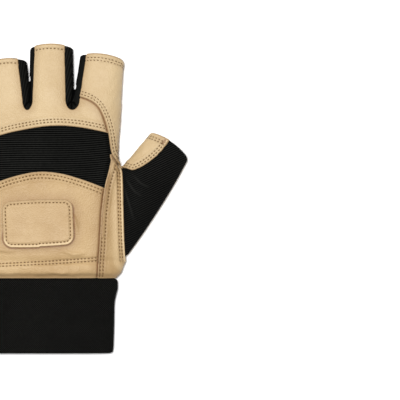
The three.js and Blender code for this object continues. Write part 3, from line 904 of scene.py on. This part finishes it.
class Look:
    """A material's node tree, with short helpers for its nodes."""

    def __init__(self, name, roughness, specular=0.35):
        self.material = bpy.data.materials.new(name)
        self.material.use_nodes = True
        self.tree = self.material.node_tree
        self.shader = self.tree.nodes["Principled BSDF"]
        self.shader.inputs["Roughness"].default_value = roughness
        self.shader.inputs["Specular IOR Level"].default_value = specular

    def node(self, kind, **settings):
        made = self.tree.nodes.new(kind)
        for key, value in settings.items():
            setattr(made, key, value)
        return made

    def fill(self, sockets, values):
        for socket, value in zip(sockets, values):
            if isinstance(value, (int, float, tuple)):
                socket.default_value = value
            elif value is not None:
                self.tree.links.new(value, socket)

    def attribute(self, name):
        return self.node("ShaderNodeAttribute", attribute_name=name).outputs["Fac"]

    def place(self):
        return self.node("ShaderNodeTexCoord").outputs["Object"]

    def math(self, operation, a, b=None, c=None):
        made = self.node("ShaderNodeMath", operation=operation)
        self.fill(made.inputs, (a, b, c))
        return made.outputs[0]

    def wave(self, value, turns_per_unit):
        """0 to 1 and back, once for each turn."""
        turns = self.math("MULTIPLY", value, 2 * math.pi * turns_per_unit)
        return self.math("MULTIPLY_ADD", self.math("COSINE", turns), -0.5, 0.5)

    def noise(self, scale, detail=3.0, rough=0.55):
        made = self.node("ShaderNodeTexNoise")
        self.fill((made.inputs["Vector"], made.inputs["Scale"], made.inputs["Detail"],
                   made.inputs["Roughness"]), (self.place(), float(scale), detail, rough))
        return made.outputs["Fac"]

    def pores(self, scale):
        made = self.node("ShaderNodeTexVoronoi")
        self.fill((made.inputs["Vector"], made.inputs["Scale"]), (self.place(), float(scale)))
        return made.outputs["Distance"]

    def ramp(self, value, *stops):
        made = self.node("ShaderNodeValToRGB")
        elements = made.color_ramp.elements
        for _ in stops[2:]:
            elements.new(0.5)
        for element, (place, colour) in zip(elements, stops):
            element.position, element.color = place, colour
        self.fill([made.inputs["Fac"]], [value])
        return made.outputs["Color"]

    def span(self, value, low, high, out_low=0.0, out_high=1.0):
        """A value's place between low and high, smooth, as a number between two others."""
        made = self.node("ShaderNodeMapRange", interpolation_type="SMOOTHSTEP")
        names = ("Value", "From Min", "From Max", "To Min", "To Max")
        self.fill([made.inputs[name] for name in names], (value, low, high, out_low, out_high))
        return made.outputs["Result"]

    def mix(self, share, a, b):
        made = self.node("ShaderNodeMix", data_type="RGBA")
        self.fill((made.inputs[0], made.inputs[6], made.inputs[7]), (share, a, b))
        return made.outputs[2]

    def colour(self, value):
        self.fill([self.shader.inputs["Base Color"]], [value])

    def bump(self, height, distance, strength=1.0, after=None):
        made = self.node("ShaderNodeBump")
        names = ("Height", "Distance", "Strength", "Normal")
        self.fill([made.inputs[name] for name in names], (height, distance, strength, after))
        return made.outputs["Normal"]

    def normal(self, value):
        self.fill([self.shader.inputs["Normal"]], [value])


# The lighter colour that painted highlights on raised leather edges mix towards.
PAINTED_HIGHLIGHT_COLOUR = rgb(214, 190, 150)


def leather_look(name, light, middle, dark, seam, stitch_shade_colour):
    """Smooth leather: faintly mottled and browner at its raw edges, with painted shadow and shade beside
    edges under a neighbour, painted highlights on raised edges and puffs, and painted shade where it is drawn
    in at each stitch."""
    look = Look(name, 0.55, 0.4)
    tone = look.math("MULTIPLY_ADD", look.noise(38, 3, 0.5), 0.8, look.math("MULTIPLY", look.noise(500), 0.2))
    base = look.ramp(tone, (0.34, dark), (0.5, middle), (0.66, light))
    # Browner within a millimetre of laid-over edges: the raw edge's own colour. The strip also feeds painted
    # shade through this field.
    at_edge = look.span(look.attribute("edge"), 0.1 * MM, 1.0 * MM, 0.15, 0.0)
    # Painted shadow: a dark line beside edges that lie under a neighbour. Painted shade: a broad brown band
    # up to 8 mm from them, on faces that round away from the light.
    lap_shadow = look.span(look.attribute("shadow_edge"), 0.4 * MM, 1.8 * MM, 0.85, 0.0)
    broad_shade = look.span(look.attribute("shadow_edge"), 0.5 * MM, 8 * MM, 0.24, 0.0)
    edge_and_shade = look.math("MAXIMUM", look.math("MAXIMUM", at_edge, lap_shadow), broad_shade)
    # The seam colour is the brown of raw edges and also of the painted shadow and shade.
    shaded = look.mix(edge_and_shade, base, seam)
    row, stitch = look.attribute("row"), look.wave(look.attribute("run"), 1)
    in_row = look.span(row, 0.15 * MM, 0.6 * MM, 1.0, 0.0)
    # Painted shade at each stitch, where the leather is pulled in, and a painted highlight on the puffed
    # leather between stitches.
    drawn = look.math("MULTIPLY", in_row, stitch)
    puff_highlight = look.math("SUBTRACT", in_row, drawn)
    raised = look.mix(look.math("MULTIPLY", puff_highlight, 0.3), shaded, light)
    # Painted highlight on raised edges and folds, where the highlight attribute is set.
    painted_highlight = look.mix(look.math("MULTIPLY", look.attribute("painted_highlight"), 0.8), raised, PAINTED_HIGHLIGHT_COLOUR)
    look.colour(look.mix(look.math("MULTIPLY", drawn, 0.5), painted_highlight, stitch_shade_colour))
    grain = look.bump(look.pores(1100), 0.22 * MM, 0.9)
    soft = look.bump(look.noise(170, 4, 0.6), 0.3 * MM, 0.3, grain)
    pulled = look.math("MULTIPLY", look.math("MULTIPLY_ADD", stitch, 0.7, 0.3), in_row)
    look.normal(look.bump(look.math("SUBTRACT", 1.0, pulled), 0.35 * MM, 0.9, soft))
    look.fill([look.shader.inputs["Roughness"]], [look.span(look.noise(90), 0.3, 0.7, 0.52, 0.6)])
    return look.material


def plain_look(name, roughness, low, high, scale, bump):
    """A finish of two mottled colours with a fine rough surface."""
    look = Look(name, roughness, 0.2)
    look.colour(look.ramp(look.noise(scale, 4, 0.65), (0.3, low), (0.7, high)))
    look.normal(look.bump(look.noise(3 * scale, 4, 0.7), bump, 0.5))
    return look.material


FABRIC_ROUGH = 0.92
FABRIC_GLOSS = 0.015
FABRIC_SHEEN = 0.004
LOOP = 0.5 * MM


def rib_look(name, pitch, depth, low, high):
    """Black ribbed fabric with its rib crests painted lighter as a highlight: the rib attribute is the
    distance across the ribs, grain along them, and the highlight attribute is 1 where a painted highlight
    lies along a fold."""
    look = Look(name, FABRIC_ROUGH, FABRIC_GLOSS)
    ribs = look.wave(look.attribute("rib"), 1 / pitch)
    loops = look.wave(look.attribute("grain"), 1 / LOOP)
    thread_height = look.math("MULTIPLY", ribs, look.math("MULTIPLY_ADD", loops, 0.3, 0.7))
    # Rib crests painted lighter: a painted highlight on the raised threads.
    crest_highlight = look.math("MULTIPLY", thread_height, 0.65)
    tone = look.math("MULTIPLY_ADD", look.noise(700, 3, 0.7), 0.35, crest_highlight)
    broad = look.span(look.noise(30), 0.3, 0.7, 0.0, 0.25)
    base = look.ramp(tone, (0.28, low), (0.85, high))
    ground = look.mix(broad, base, low)
    # Painted highlight along the ridges of folds.
    look.colour(look.mix(look.math("MULTIPLY", look.attribute("painted_highlight"), 0.5), ground, high))
    look.shader.inputs["Sheen Weight"].default_value = FABRIC_SHEEN
    look.normal(look.bump(thread_height, depth, 0.8))
    return look


def side_look():
    """The fabric between the fingers, with a dark seam where its pieces meet: its own dark line, deepened by
    painted shade in the seam's groove.
    """
    look = rib_look("side_fabric", 0.9 * MM, 0.06 * MM, rgb(10, 10, 9), rgb(30, 30, 28))
    # Darker along the seams: the seam's own dark line, with painted shade in its groove.
    crease = look.span(look.attribute("crease"), 0.1 * MM, 0.9 * MM, 0.0, 1.0)
    base = look.shader.inputs["Base Color"].links[0].from_socket
    look.colour(look.mix(crease, rgb(3, 3, 3), base))
    fine = look.shader.inputs["Normal"].links[0].from_socket
    look.normal(look.bump(crease, 0.6 * MM, 0.9, fine))
    return look.material


KNIT_PITCH = 1.36 * MM
RIB_PITCH = 1.41 * MM
THUMB_RIB_PITCH = 1.33 * MM


def knit_look():
    """The cuff's fine knit, which crosses both ways, with its loops painted lighter as a highlight."""
    look = Look("knit_elastic", FABRIC_ROUGH, FABRIC_GLOSS)
    one, other = (look.wave(look.attribute(name), 1 / KNIT_PITCH) for name in ("rib", "grain"))
    loops = look.math("MULTIPLY", one, other)
    # Loops painted lighter: a painted highlight on the raised knit.
    loop_highlight = look.math("MULTIPLY", loops, 0.6)
    tone = look.math("MULTIPLY_ADD", look.noise(900, 3, 0.7), 0.5, loop_highlight)
    base = look.ramp(tone, (0.3, rgb(0, 0, 0)), (0.66, rgb(37, 37, 35)))
    look.colour(look.mix(look.span(look.noise(25), 0.3, 0.7, 0.0, 0.3), base, rgb(10, 10, 10)))
    look.shader.inputs["Sheen Weight"].default_value = FABRIC_SHEEN
    look.normal(look.bump(loops, 0.15 * MM, 0.8))
    return look.material


# heel_leather, trim_leather and patch_leather are darker copies of the same leather: painted shade for the
# panels that tilt away from the light. In each, the fourth colour is the brown of raw edges and of painted
# shadow and shade, and the fifth is the painted shade at each stitch.
leather = leather_look("leather", rgb(188, 165, 127), rgb(182, 158, 120), rgb(175, 150, 111),
                       rgb(120, 82, 50), rgb(126, 94, 60))
heel_leather = leather_look("heel_leather", rgb(180, 152, 110), rgb(172, 143, 101), rgb(163, 133, 91),
                            rgb(114, 76, 46), rgb(118, 86, 54))
trim_leather = leather_look("trim_leather", rgb(167, 139, 97), rgb(159, 130, 88), rgb(150, 120, 78),
                            rgb(106, 70, 42), rgb(112, 80, 50))
patch_leather = leather_look("patch_leather", rgb(180, 153, 113), rgb(174, 146, 106), rgb(167, 138, 98),
                             rgb(112, 76, 46), rgb(114, 82, 50))
flesh_look = plain_look("leather_inside", 0.95, rgb(128, 106, 78), rgb(152, 130, 101), 320, 0.3 * MM)
edge_look = plain_look("leather_edge", 0.75, rgb(150, 124, 90), rgb(172, 146, 110), 700, 0.15 * MM)
thread = plain_look("thread", 0.8, rgb(76, 52, 30), rgb(112, 80, 48), 2500, 0.1 * MM)
rib = rib_look("rib_fabric", RIB_PITCH, 0.22 * MM, rgb(1, 1, 1), rgb(39, 39, 37)).material
thumb_rib = rib_look("thumb_fabric", THUMB_RIB_PITCH, 0.18 * MM, rgb(1, 1, 1), rgb(38, 38, 36)).material
side_fabric = side_look()
knit = knit_look()

# The base form, finer on the back than on the palm side
FINE_STEP = 0.6 * MM
COARSE_STEP = 0.85 * MM
GRID_LOW = (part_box("palm_shell")[0][0] - 3 * MM, WRIST_Y - 6 * MM, -1.2 * MM)
GRID_HIGH = (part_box("thumb_palm")[1][0] + 5 * MM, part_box("palm_shell")[1][1] + 5 * MM, 27 * MM)


def base_skin(step):
    points, triangles = surface_net(GRID_LOW, GRID_HIGH, step)
    points, normals = settled(points)
    skin = Skin(points, normals, triangles, back_from_tips(points))
    return skin.cut(from_wrist, lambda s: s.tips)


fine = base_skin(FINE_STEP)
coarse = base_skin(COARSE_STEP)
back_half = fine.cut(above_waist)


# How the panels rise over the form and dip under their neighbours
HEM = 0.3 * MM
THIN_HEM = 0.2 * MM
HEM_SLOPE = 1.5 * MM
TIP_HEM = 4.6 * MM
FOLD = 1.1 * MM
RIB_SLANT = 25
SHADED_FROM = 2 * MM


def hem(distance, width, lift=HEM):
    """A turned edge: raised as far as its rows of stitches go."""
    return lift * (1 - rise((distance - width) / HEM_SLOPE))


def waist_dip(skin):
    """Back panels sink at the glove's side, where they meet the palm's."""
    return 0.5 * MM * fall(above_waist(skin), 1.6 * MM)


def lap_dip(over):
    """Leather sinks where it goes under a strip; over is the distance to the strip's edge."""
    return 0.95 * MM * fall(over + 0.4 * MM, 2.4 * MM)


def fabric_dip(shown):
    """Fabric sinks under the leather round it; shown is the distance to the leather's edge."""
    return 1.25 * MM * fall(shown + 0.3 * MM, 3.0 * MM)


def wrist_dip(wrist):
    """Leather sinks where it goes under the cuff."""
    return 1.6 * MM * fall(wrist + 2.5 * MM, 6 * MM)


def folds(skin, lines, power):
    """For each fold: every point's distance to it, and a share that fades towards the fold's ends."""
    found = []
    for points in lines:
        fold = curve(points)
        gap, along = beside(skin.plan, fold)
        found.append((gap, np.sin(math.pi * np.clip(along / lengths(fold)[-1], 0, 1)) ** power))
    return found


def rows_at(distance, key, where=None):
    where = np.ones(len(distance), bool) if where is None else where
    return [(distance - at, where) for at in ROWS[key]]


def tip_wall(skin):
    """Leather doubled where it is turned in at the openings."""
    return LEATHER + 0.7 * MM * fall(skin.tips - 3 * MM, 2 * MM)


def build_yoke():
    skin = back_half.cut(
        lambda s: inside(s.plan, region["back"]) + LAP,
        lambda s: beside(s.plan, line["knuckle"])[0] - EDGE,
        lambda s: out_of_webs(s) - EDGE).largest()
    arch = beside(skin.plan, line["knuckle"])[0]
    over = inside(skin.plan, region["back"])
    webs = out_of_webs(skin)
    level = hem(arch, 5.2 * MM) + hem(skin.tips, 3 * MM, THIN_HEM) + uneven(skin.points, 3)
    level -= lap_dip(over) + waist_dip(skin)
    rows = rows_at(arch, "knuckle", over > 0.5 * MM) + rows_at(skin.tips, "tip")
    # Painted shadow where the yoke goes under the strip, and painted shade beside the webs along the fingers'
    # rounded sides.
    edge, shadow_edge = np.minimum(arch, webs), np.minimum(over, webs + SHADED_FROM)
    add_leather("knuckle_yoke", leather, skin, level, rows, edge, shadow_edge, tip_wall(skin), 1)


def build_stretch():
    def own(s):
        return np.minimum(-beside(s.plan, line["knuckle"])[0], beside(s.plan, line["heel"])[0])
    skin = back_half.cut(lambda s: own(s) + LAP, lambda s: inside(s.plan, region["back"]) + LAP)
    shown = np.minimum(own(skin), inside(skin.plan, region["back"]))
    level = -0.35 * MM - fabric_dip(shown) - waist_dip(skin)
    across = (skin.plan[:, 0] - MIDDLE_X) / (PALM_WIDTH / 2)
    ribs = skin.plan[:, 1] - 3.5 * MM * (across - 0.05) ** 3
    add_fabric("stretch_panel", rib, skin, level, {"rib": ribs, "grain": skin.plan[:, 0]})


def from_patch(skin):
    """Positive inside the patch's rounded rectangle."""
    tilt = math.radians(PATCH_TILT)
    turn = np.array([[math.cos(tilt), -math.sin(tilt)], [math.sin(tilt), math.cos(tilt)]])
    local = (skin.plan - on_palm(PATCH_PLACE)) @ turn
    bow = 0.9 * MM * (2 * local[:, 0] / PATCH_WIDTH) ** 2
    notch = 0.5 * MM * (local[:, 1] < 0) * rise((local[:, 0] - PATCH_NOTCH) / (0.4 * MM))
    local = np.abs(local) + np.c_[np.zeros(len(local)), bow + notch]
    over = local - np.array([PATCH_WIDTH / 2 - PATCH_CORNER, PATCH_HEIGHT / 2 - PATCH_CORNER])
    return PATCH_CORNER - np.linalg.norm(np.maximum(over, 0), axis=1) - np.minimum(over.max(1), 0)


# Which way the patch's lit edges face: no shadow is drawn along them
LIT_SIDE = (-0.4, 1)


def build_heel():
    skin = back_half.cut(
        lambda s: -beside(s.plan, line["heel"])[0] - EDGE,
        lambda s: inside(s.plan, region["back"]) + LAP)
    arch = -beside(skin.plan, line["heel"])[0]
    over = inside(skin.plan, region["back"])
    wrist, band = from_wrist(skin), beside(skin.plan, line["band"])[0]
    level = hem(arch, 5.4 * MM) + uneven(skin.points, 5)
    level += 0.45 * MM * ridge(wrist, 6 * MM, 4 * MM) + 0.25 * MM * ridge(band, 0, 0.9 * MM)
    gathers = waver(skin.points * (1.0, 0.35, 1.0), 7 * MM, 21)
    level += 0.25 * MM * gathers * fall(np.abs(wrist - 5 * MM), 7 * MM)
    level -= lap_dip(over) + waist_dip(skin) + wrist_dip(wrist)
    for gap, swell in folds(skin, heel_folds, 1):
        level += FOLD * ridge(gap, 0, 1.5 * MM) * swell
    rows = rows_at(arch, "heel", over > 0.5 * MM) + rows_at(band, "band", over > 0.5 * MM)
    # Painted shadow along the strip's edge, above the cuff and below and right of the patch, with a broad
    # band of painted shade beside them.
    lit = (skin.plan - on_palm(PATCH_PLACE)) @ LIT_SIDE
    patch_shadow_edge = np.maximum(-from_patch(skin), 0) + 1.2 * MM * rise(lit / (8 * MM))
    shadow_edge = np.minimum(np.minimum(over, wrist + SHADED_FROM), patch_shadow_edge)
    add_leather("heel_panel", heel_leather, skin, level, rows, arch, shadow_edge, seed=2)


STRIP_LOW_PART = 0.22 * PALM_LENGTH
STRIP_ROWS_END = 12 * MM


def build_strip():
    def own(s):
        away = np.abs(beside(s.plan, line["index"])[0]) > 2 * EDGE
        return inside(s.plan, region["strip"]) - EDGE * away
    skin = back_half.cut(own).largest()
    left = np.abs(beside(skin.plan, line["strip_in"])[0])
    right = np.abs(beside(skin.plan, line["strip_out"])[0])
    under = np.abs(beside(skin.plan, line["index"])[0])
    wrist = from_wrist(skin)
    level = 0.4 * MM + hem(left, 4.2 * MM, THIN_HEM) + hem(right, 4.2 * MM, 0.35 * MM)
    level += 0.3 * MM * ridge(wrist, 6 * MM, 4 * MM) - 1.2 * MM * fall(under, 2.4 * MM)
    level -= waist_dip(skin) + wrist_dip(wrist)
    level += uneven(skin.points, 7)
    shown = under > 3 * MM
    low = wrist < STRIP_LOW_PART
    near_row, clear_row = rows_at(left, "strip_in", shown)
    rows = [(near_row[0], shown & low), clear_row]
    rows += rows_at(right, "strip_out", shown & (wrist > STRIP_ROWS_END))
    # Painted shade along the right rows in the lower part, carried by the edge field; painted shadow along
    # the left edge, the index seam and the cuff; a painted highlight on the raised right edge and a faint
    # band inside it.
    add_leather("side_strip", trim_leather, skin, level, rows,
                np.where(low, np.abs(right - 1.7 * MM), FAR),
                np.minimum(np.minimum(left, under), wrist + SHADED_FROM), seed=3,
                painted_highlight=ridge(right, 0.6 * MM, 0.9 * MM) + 0.4 * ridge(right, 6 * MM, 2 * MM))


def build_palm():
    def own(s):
        lower = np.minimum(-above_waist(s), -inside(s.plan, region["thenar"]))
        return np.maximum(lower, inside(s.plan, region["index"]) - EDGE)
    skin = coarse.cut(own, lambda s: out_of_webs(s) - EDGE).largest()
    index = inside(skin.plan, region["index"])
    seam = np.abs(beside(skin.plan, line["index"])[0])
    upper = rise(above_waist(skin) / MM)
    webs, wrist = out_of_webs(skin), from_wrist(skin)
    thenar = np.abs(inside(skin.plan, region["thenar"]))
    level = upper * (hem(seam, 4.5 * MM, THIN_HEM) + 0.45 * MM * fall(seam, 6 * MM))
    level += hem(skin.tips, TIP_HEM, THIN_HEM) - wrist_dip(wrist)
    side = np.where(index > 0, 1.0, -above_waist(skin))
    level -= 0.9 * MM * fall(side, 1.6 * MM)
    level += uneven(skin.points, 11, 0.1 * MM) * rise(skin.points[:, 2] / (3 * MM))
    top = above_waist(skin) > 0
    rows = rows_at(seam, "index", top & (index > 0)) + rows_at(skin.tips, "index_tip", index > 0)
    rows += rows_at(skin.tips, "tip", index < 0) + rows_at(thenar, "thenar", ~top & (index < 0))
    edge = np.minimum(np.where(top, seam, thenar), webs)
    # Painted shade beside the webs and painted shadow where the top rounds down into the glove's side.
    shadow_edge = np.where(top, np.minimum(webs + SHADED_FROM, above_waist(skin) + 1.6 * MM), FAR)
    add_leather("palm_shell", leather, skin, level, rows, edge, shadow_edge, tip_wall(skin), 4)


def build_thumb_back():
    skin = back_half.cut(
        lambda s: inside(s.plan, region["thumb"]) + LAP,
        lambda s: beside(s.plan, line["thumb"])[0] + LAP).largest()
    shown = np.minimum(inside(skin.plan, region["thumb"]), beside(skin.plan, line["thumb"])[0])
    level = -0.3 * MM - fabric_dip(shown)
    # A painted highlight along the ridge of each fold.
    painted_highlight = np.zeros(len(level))
    for gap, swell in folds(skin, thumb_folds, 0.7):
        level += FOLD * ridge(gap, 0, 1.4 * MM) * swell
        painted_highlight = np.maximum(painted_highlight, ridge(gap, 0, 0.6 * MM) * swell)
    slant = math.radians(RIB_SLANT)
    along = np.array([math.cos(slant), math.sin(slant)])
    across = np.array([-math.sin(slant), math.cos(slant)])
    values = {"rib": skin.plan @ across, "grain": skin.plan @ along, "painted_highlight": painted_highlight}
    add_fabric("thumb_back", thumb_rib, skin, level, values)


def build_thumb_palm():
    def own(s):
        hidden = rise(beside(s.plan, line["thumb"])[0] / (2 * MM))
        lower = np.minimum(-above_waist(s), inside(s.plan, region["thenar"]))
        lower = np.minimum(lower, s.tips - 1.1 * MM * hidden)
        tip = np.minimum(-beside(s.plan, line["thumb"])[0] - EDGE, inside(s.plan, region["thumb"]))
        return np.maximum(lower, tip)
    skin = fine.cut(own).largest()
    seam = beside(skin.plan, line["thumb"])[0]
    upper = rise(above_waist(skin) / MM)
    thenar = inside(skin.plan, region["thenar"])
    level = upper * hem(np.abs(seam), TIP_HEM) + hem(skin.tips, TIP_HEM, THIN_HEM)
    side = np.where(seam < 0, 1.0, -above_waist(skin))
    level -= 1.5 * MM * fall(side, 2.2 * MM) + 0.6 * MM * (1 - upper) * fall(thenar, 1.6 * MM)
    level -= 1.2 * MM * (1 - upper) * rise(seam / (2 * MM)) * rise(skin.points[:, 2] / (4 * MM))
    level += uneven(skin.points, 13, 0.1 * MM) * rise(skin.points[:, 2] / (3 * MM))
    top = (above_waist(skin) > 0) & (seam < 0)
    corner = top & (skin.tips < 4.4 * MM)
    lip = -1.6 * MM - 0.12 * skin.tips
    rows = rows_at(-seam, "thumb", top & ~corner) + rows_at(skin.tips, "thumb_tip", ~top | (seam < lip))
    level += 0.25 * MM * corner * ridge(seam, -0.8 * MM, 0.6 * MM)
    edge = np.where(top, np.abs(seam), FAR)
    # Painted shadow under the fold at the tip's corner and along the thenar seam, and a painted highlight on
    # the corner fold's ridge.
    shadow_edge = np.where(top, np.where(corner, np.abs(seam - lip), FAR), thenar)
    add_leather("thumb_palm", leather, skin, level, rows, edge, shadow_edge, tip_wall(skin), 5,
                corner * ridge(seam, -0.7 * MM, 0.7 * MM))


def build_sidewall(name):
    skin = fine.cut(lambda s: in_web(s, name) + LAP).largest()
    shown = in_web(skin, name)
    level = -0.05 * MM - 1.5 * MM * fall(shown + 1.0 * MM, 3.2 * MM)
    tube = tubes[WEBS[name][1]]
    along, across = tube.place(*skin.plan.T)
    crease = np.min([np.abs(beside(skin.plan, curve(points))[0]) for points in creases[name]], axis=0)
    level -= 0.5 * MM * ridge(crease, 0, 0.9 * MM)
    values = {"rib": across + 0.6 * skin.points[:, 2], "grain": along, "crease": crease}
    add_fabric("sidewall_" + name, side_fabric, skin, level, values)


CUFF_AROUND = 300
CUFF_STEPS = 100
HEM_STEPS = 7


def cuff_ring(share, level):
    """One section of the cuff, with a flat underside."""
    width = through(cuff_rows["along"], cuff_rows["width"], share) * CUFF_WIDTH
    depth = through(cuff_rows["along"], cuff_rows["depth"], share) * CUFF_DEPTH
    turn = np.linspace(0, 2 * math.pi, CUFF_AROUND, endpoint=False)
    c, s = np.cos(turn), np.sin(turn)
    reach = 2 / CUFF_ROUNDNESS
    up = np.where(s > 0, depth - SIDE_SEAM_HEIGHT, SIDE_SEAM_HEIGHT + FLOOR_FLAT) + level
    height = SIDE_SEAM_HEIGHT + up * np.sign(s) * np.abs(s) ** reach
    return (width / 2 + level) * np.sign(c) * np.abs(c) ** reach, np.maximum(height, -level)


def build_cuff():
    half = CUFF_WALL / 2
    turn = np.linspace(0, math.pi, HEM_STEPS + 1)[1:-1]
    straight = np.linspace(half, CUFF_LENGTH - half, CUFF_STEPS)
    profile = [(ahead, 0.0) for ahead in straight]
    profile += [(CUFF_LENGTH - half + half * math.sin(t), half * (math.cos(t) - 1)) for t in turn]
    profile += [(ahead, -CUFF_WALL) for ahead in straight[::-1]]
    profile += [(half - half * math.sin(t), -half * (math.cos(t) + 1)) for t in turn]
    layers = []
    for ahead, level in profile:
        across, height = cuff_ring(ahead / CUFF_LENGTH, level)
        layers.append(np.c_[MIDDLE_X + across, np.full(CUFF_AROUND, WRIST_Y - SEAM_GAP - ahead), height])
    points = np.vstack(layers)
    n = len(layers)
    r, k = np.meshgrid(np.arange(n), np.arange(CUFF_AROUND), indexing="ij")
    r2, k2 = (r + 1) % n, (k + 1) % CUFF_AROUND
    corners = [(r, k), (r, k2), (r2, k2), (r2, k)]
    faces = np.stack([(i * CUFF_AROUND + j).ravel() for i, j in corners], axis=1)
    ring = layers[CUFF_STEPS // 2][:, [0, 2]]
    girth = np.tile(lengths(ring), n)
    values = {"rib": girth + points[:, 1], "grain": girth - points[:, 1]}
    new_object("cuff_knit", points, faces, [knit], np.zeros(len(faces)), values, "cuff")


def build_patch():
    skin = back_half.cut(lambda s: from_patch(s) - EDGE)
    own = from_patch(skin)
    x, y = (skin.plan - on_palm(PATCH_PLACE)).T
    level = 1.35 * MM + 0.35 * MM * rise(-y / (PATCH_HEIGHT / 2)) + 0.2 * MM * ridge(own, 3.6 * MM, 1.5 * MM)
    level += uneven(skin.points, 5) * 0.6
    rows = rows_at(own, "patch")
    # On the lower rim, less edge brown and a painted highlight. No painted shadow is laid on the patch
    # itself.
    low = rise(-y / (4 * MM) - 2)
    add_leather("patch", patch_leather, skin, level, rows, own + 0.6 * MM * low,
                np.full(len(own), FAR), seed=6, painted_highlight=ridge(own, 0.9 * MM, 0.8 * MM) * low)


build_yoke()
build_stretch()
build_heel()
build_strip()
build_palm()
build_thumb_back()
build_thumb_palm()
for web in WEBS:
    build_sidewall(web)
build_patch()
build_cuff()

# Floor, light and camera
PIXEL = 0.65 * MM
FRAME_PIXELS = 400
PALM_AXIS_PIXEL = 36.0
WEB_LINE_PIXEL = 107.0
CAMERA_HEIGHT = 2.0
LOOK_HEIGHT = 16 * MM


def pixel_place(x, y):
    """The plan point that a pixel of the photograph shows."""
    return (MIDDLE_X + (x - PALM_AXIS_PIXEL) * PIXEL, WRIST_Y + PALM_LENGTH - (y - WEB_LINE_PIXEL) * PIXEL)


def build_stage():
    mesh = bpy.data.meshes.new("floor")
    half = 3.0
    corners = [(-half, -half, 0), (half, -half, 0), (half, half, 0), (-half, half, 0)]
    mesh.from_pydata(corners, [], [(0, 1, 2, 3)])
    mesh.materials.append(plain_look("floor", 0.9, (0.9, 0.9, 0.9, 1), (0.93, 0.93, 0.93, 1), 8, 0.1 * MM))
    floor = bpy.data.objects.new("floor", mesh)
    bpy.context.scene.collection.objects.link(floor)


def area_light(name, place, size, power):
    data = bpy.data.lights.new(name, "AREA")
    data.shape, data.size, data.energy = "SQUARE", size, power
    light = bpy.data.objects.new(name, data)
    light.location = place
    light.rotation_euler = (-Vector(place)).to_track_quat("-Z", "Y").to_euler()
    bpy.context.scene.collection.objects.link(light)


def build_lights():
    area_light("key", (-0.06, 0.1, 1.95), 0.25, 41)
    area_light("rake", (-0.8, 1.3, 1.1), 0.5, 8)
    world = bpy.data.worlds.new("studio")
    world.use_nodes = True
    world.node_tree.nodes["Background"].inputs["Color"].default_value = (1, 1, 1, 1)
    world.node_tree.nodes["Background"].inputs["Strength"].default_value = 0.36
    bpy.context.scene.world = world


def build_camera():
    data = bpy.data.cameras.new("camera")
    data.sensor_width = 36
    data.lens = 36 * (CAMERA_HEIGHT - LOOK_HEIGHT) / (FRAME_PIXELS * PIXEL)
    data.clip_end = 20
    camera = bpy.data.objects.new("camera", data)
    camera.location = (*pixel_place(FRAME_PIXELS / 2, FRAME_PIXELS / 2), CAMERA_HEIGHT)
    bpy.context.scene.collection.objects.link(camera)
    bpy.context.scene.camera = camera


build_stage()
build_lights()
build_camera()
bpy.context.scene.view_settings.view_transform = "Standard"
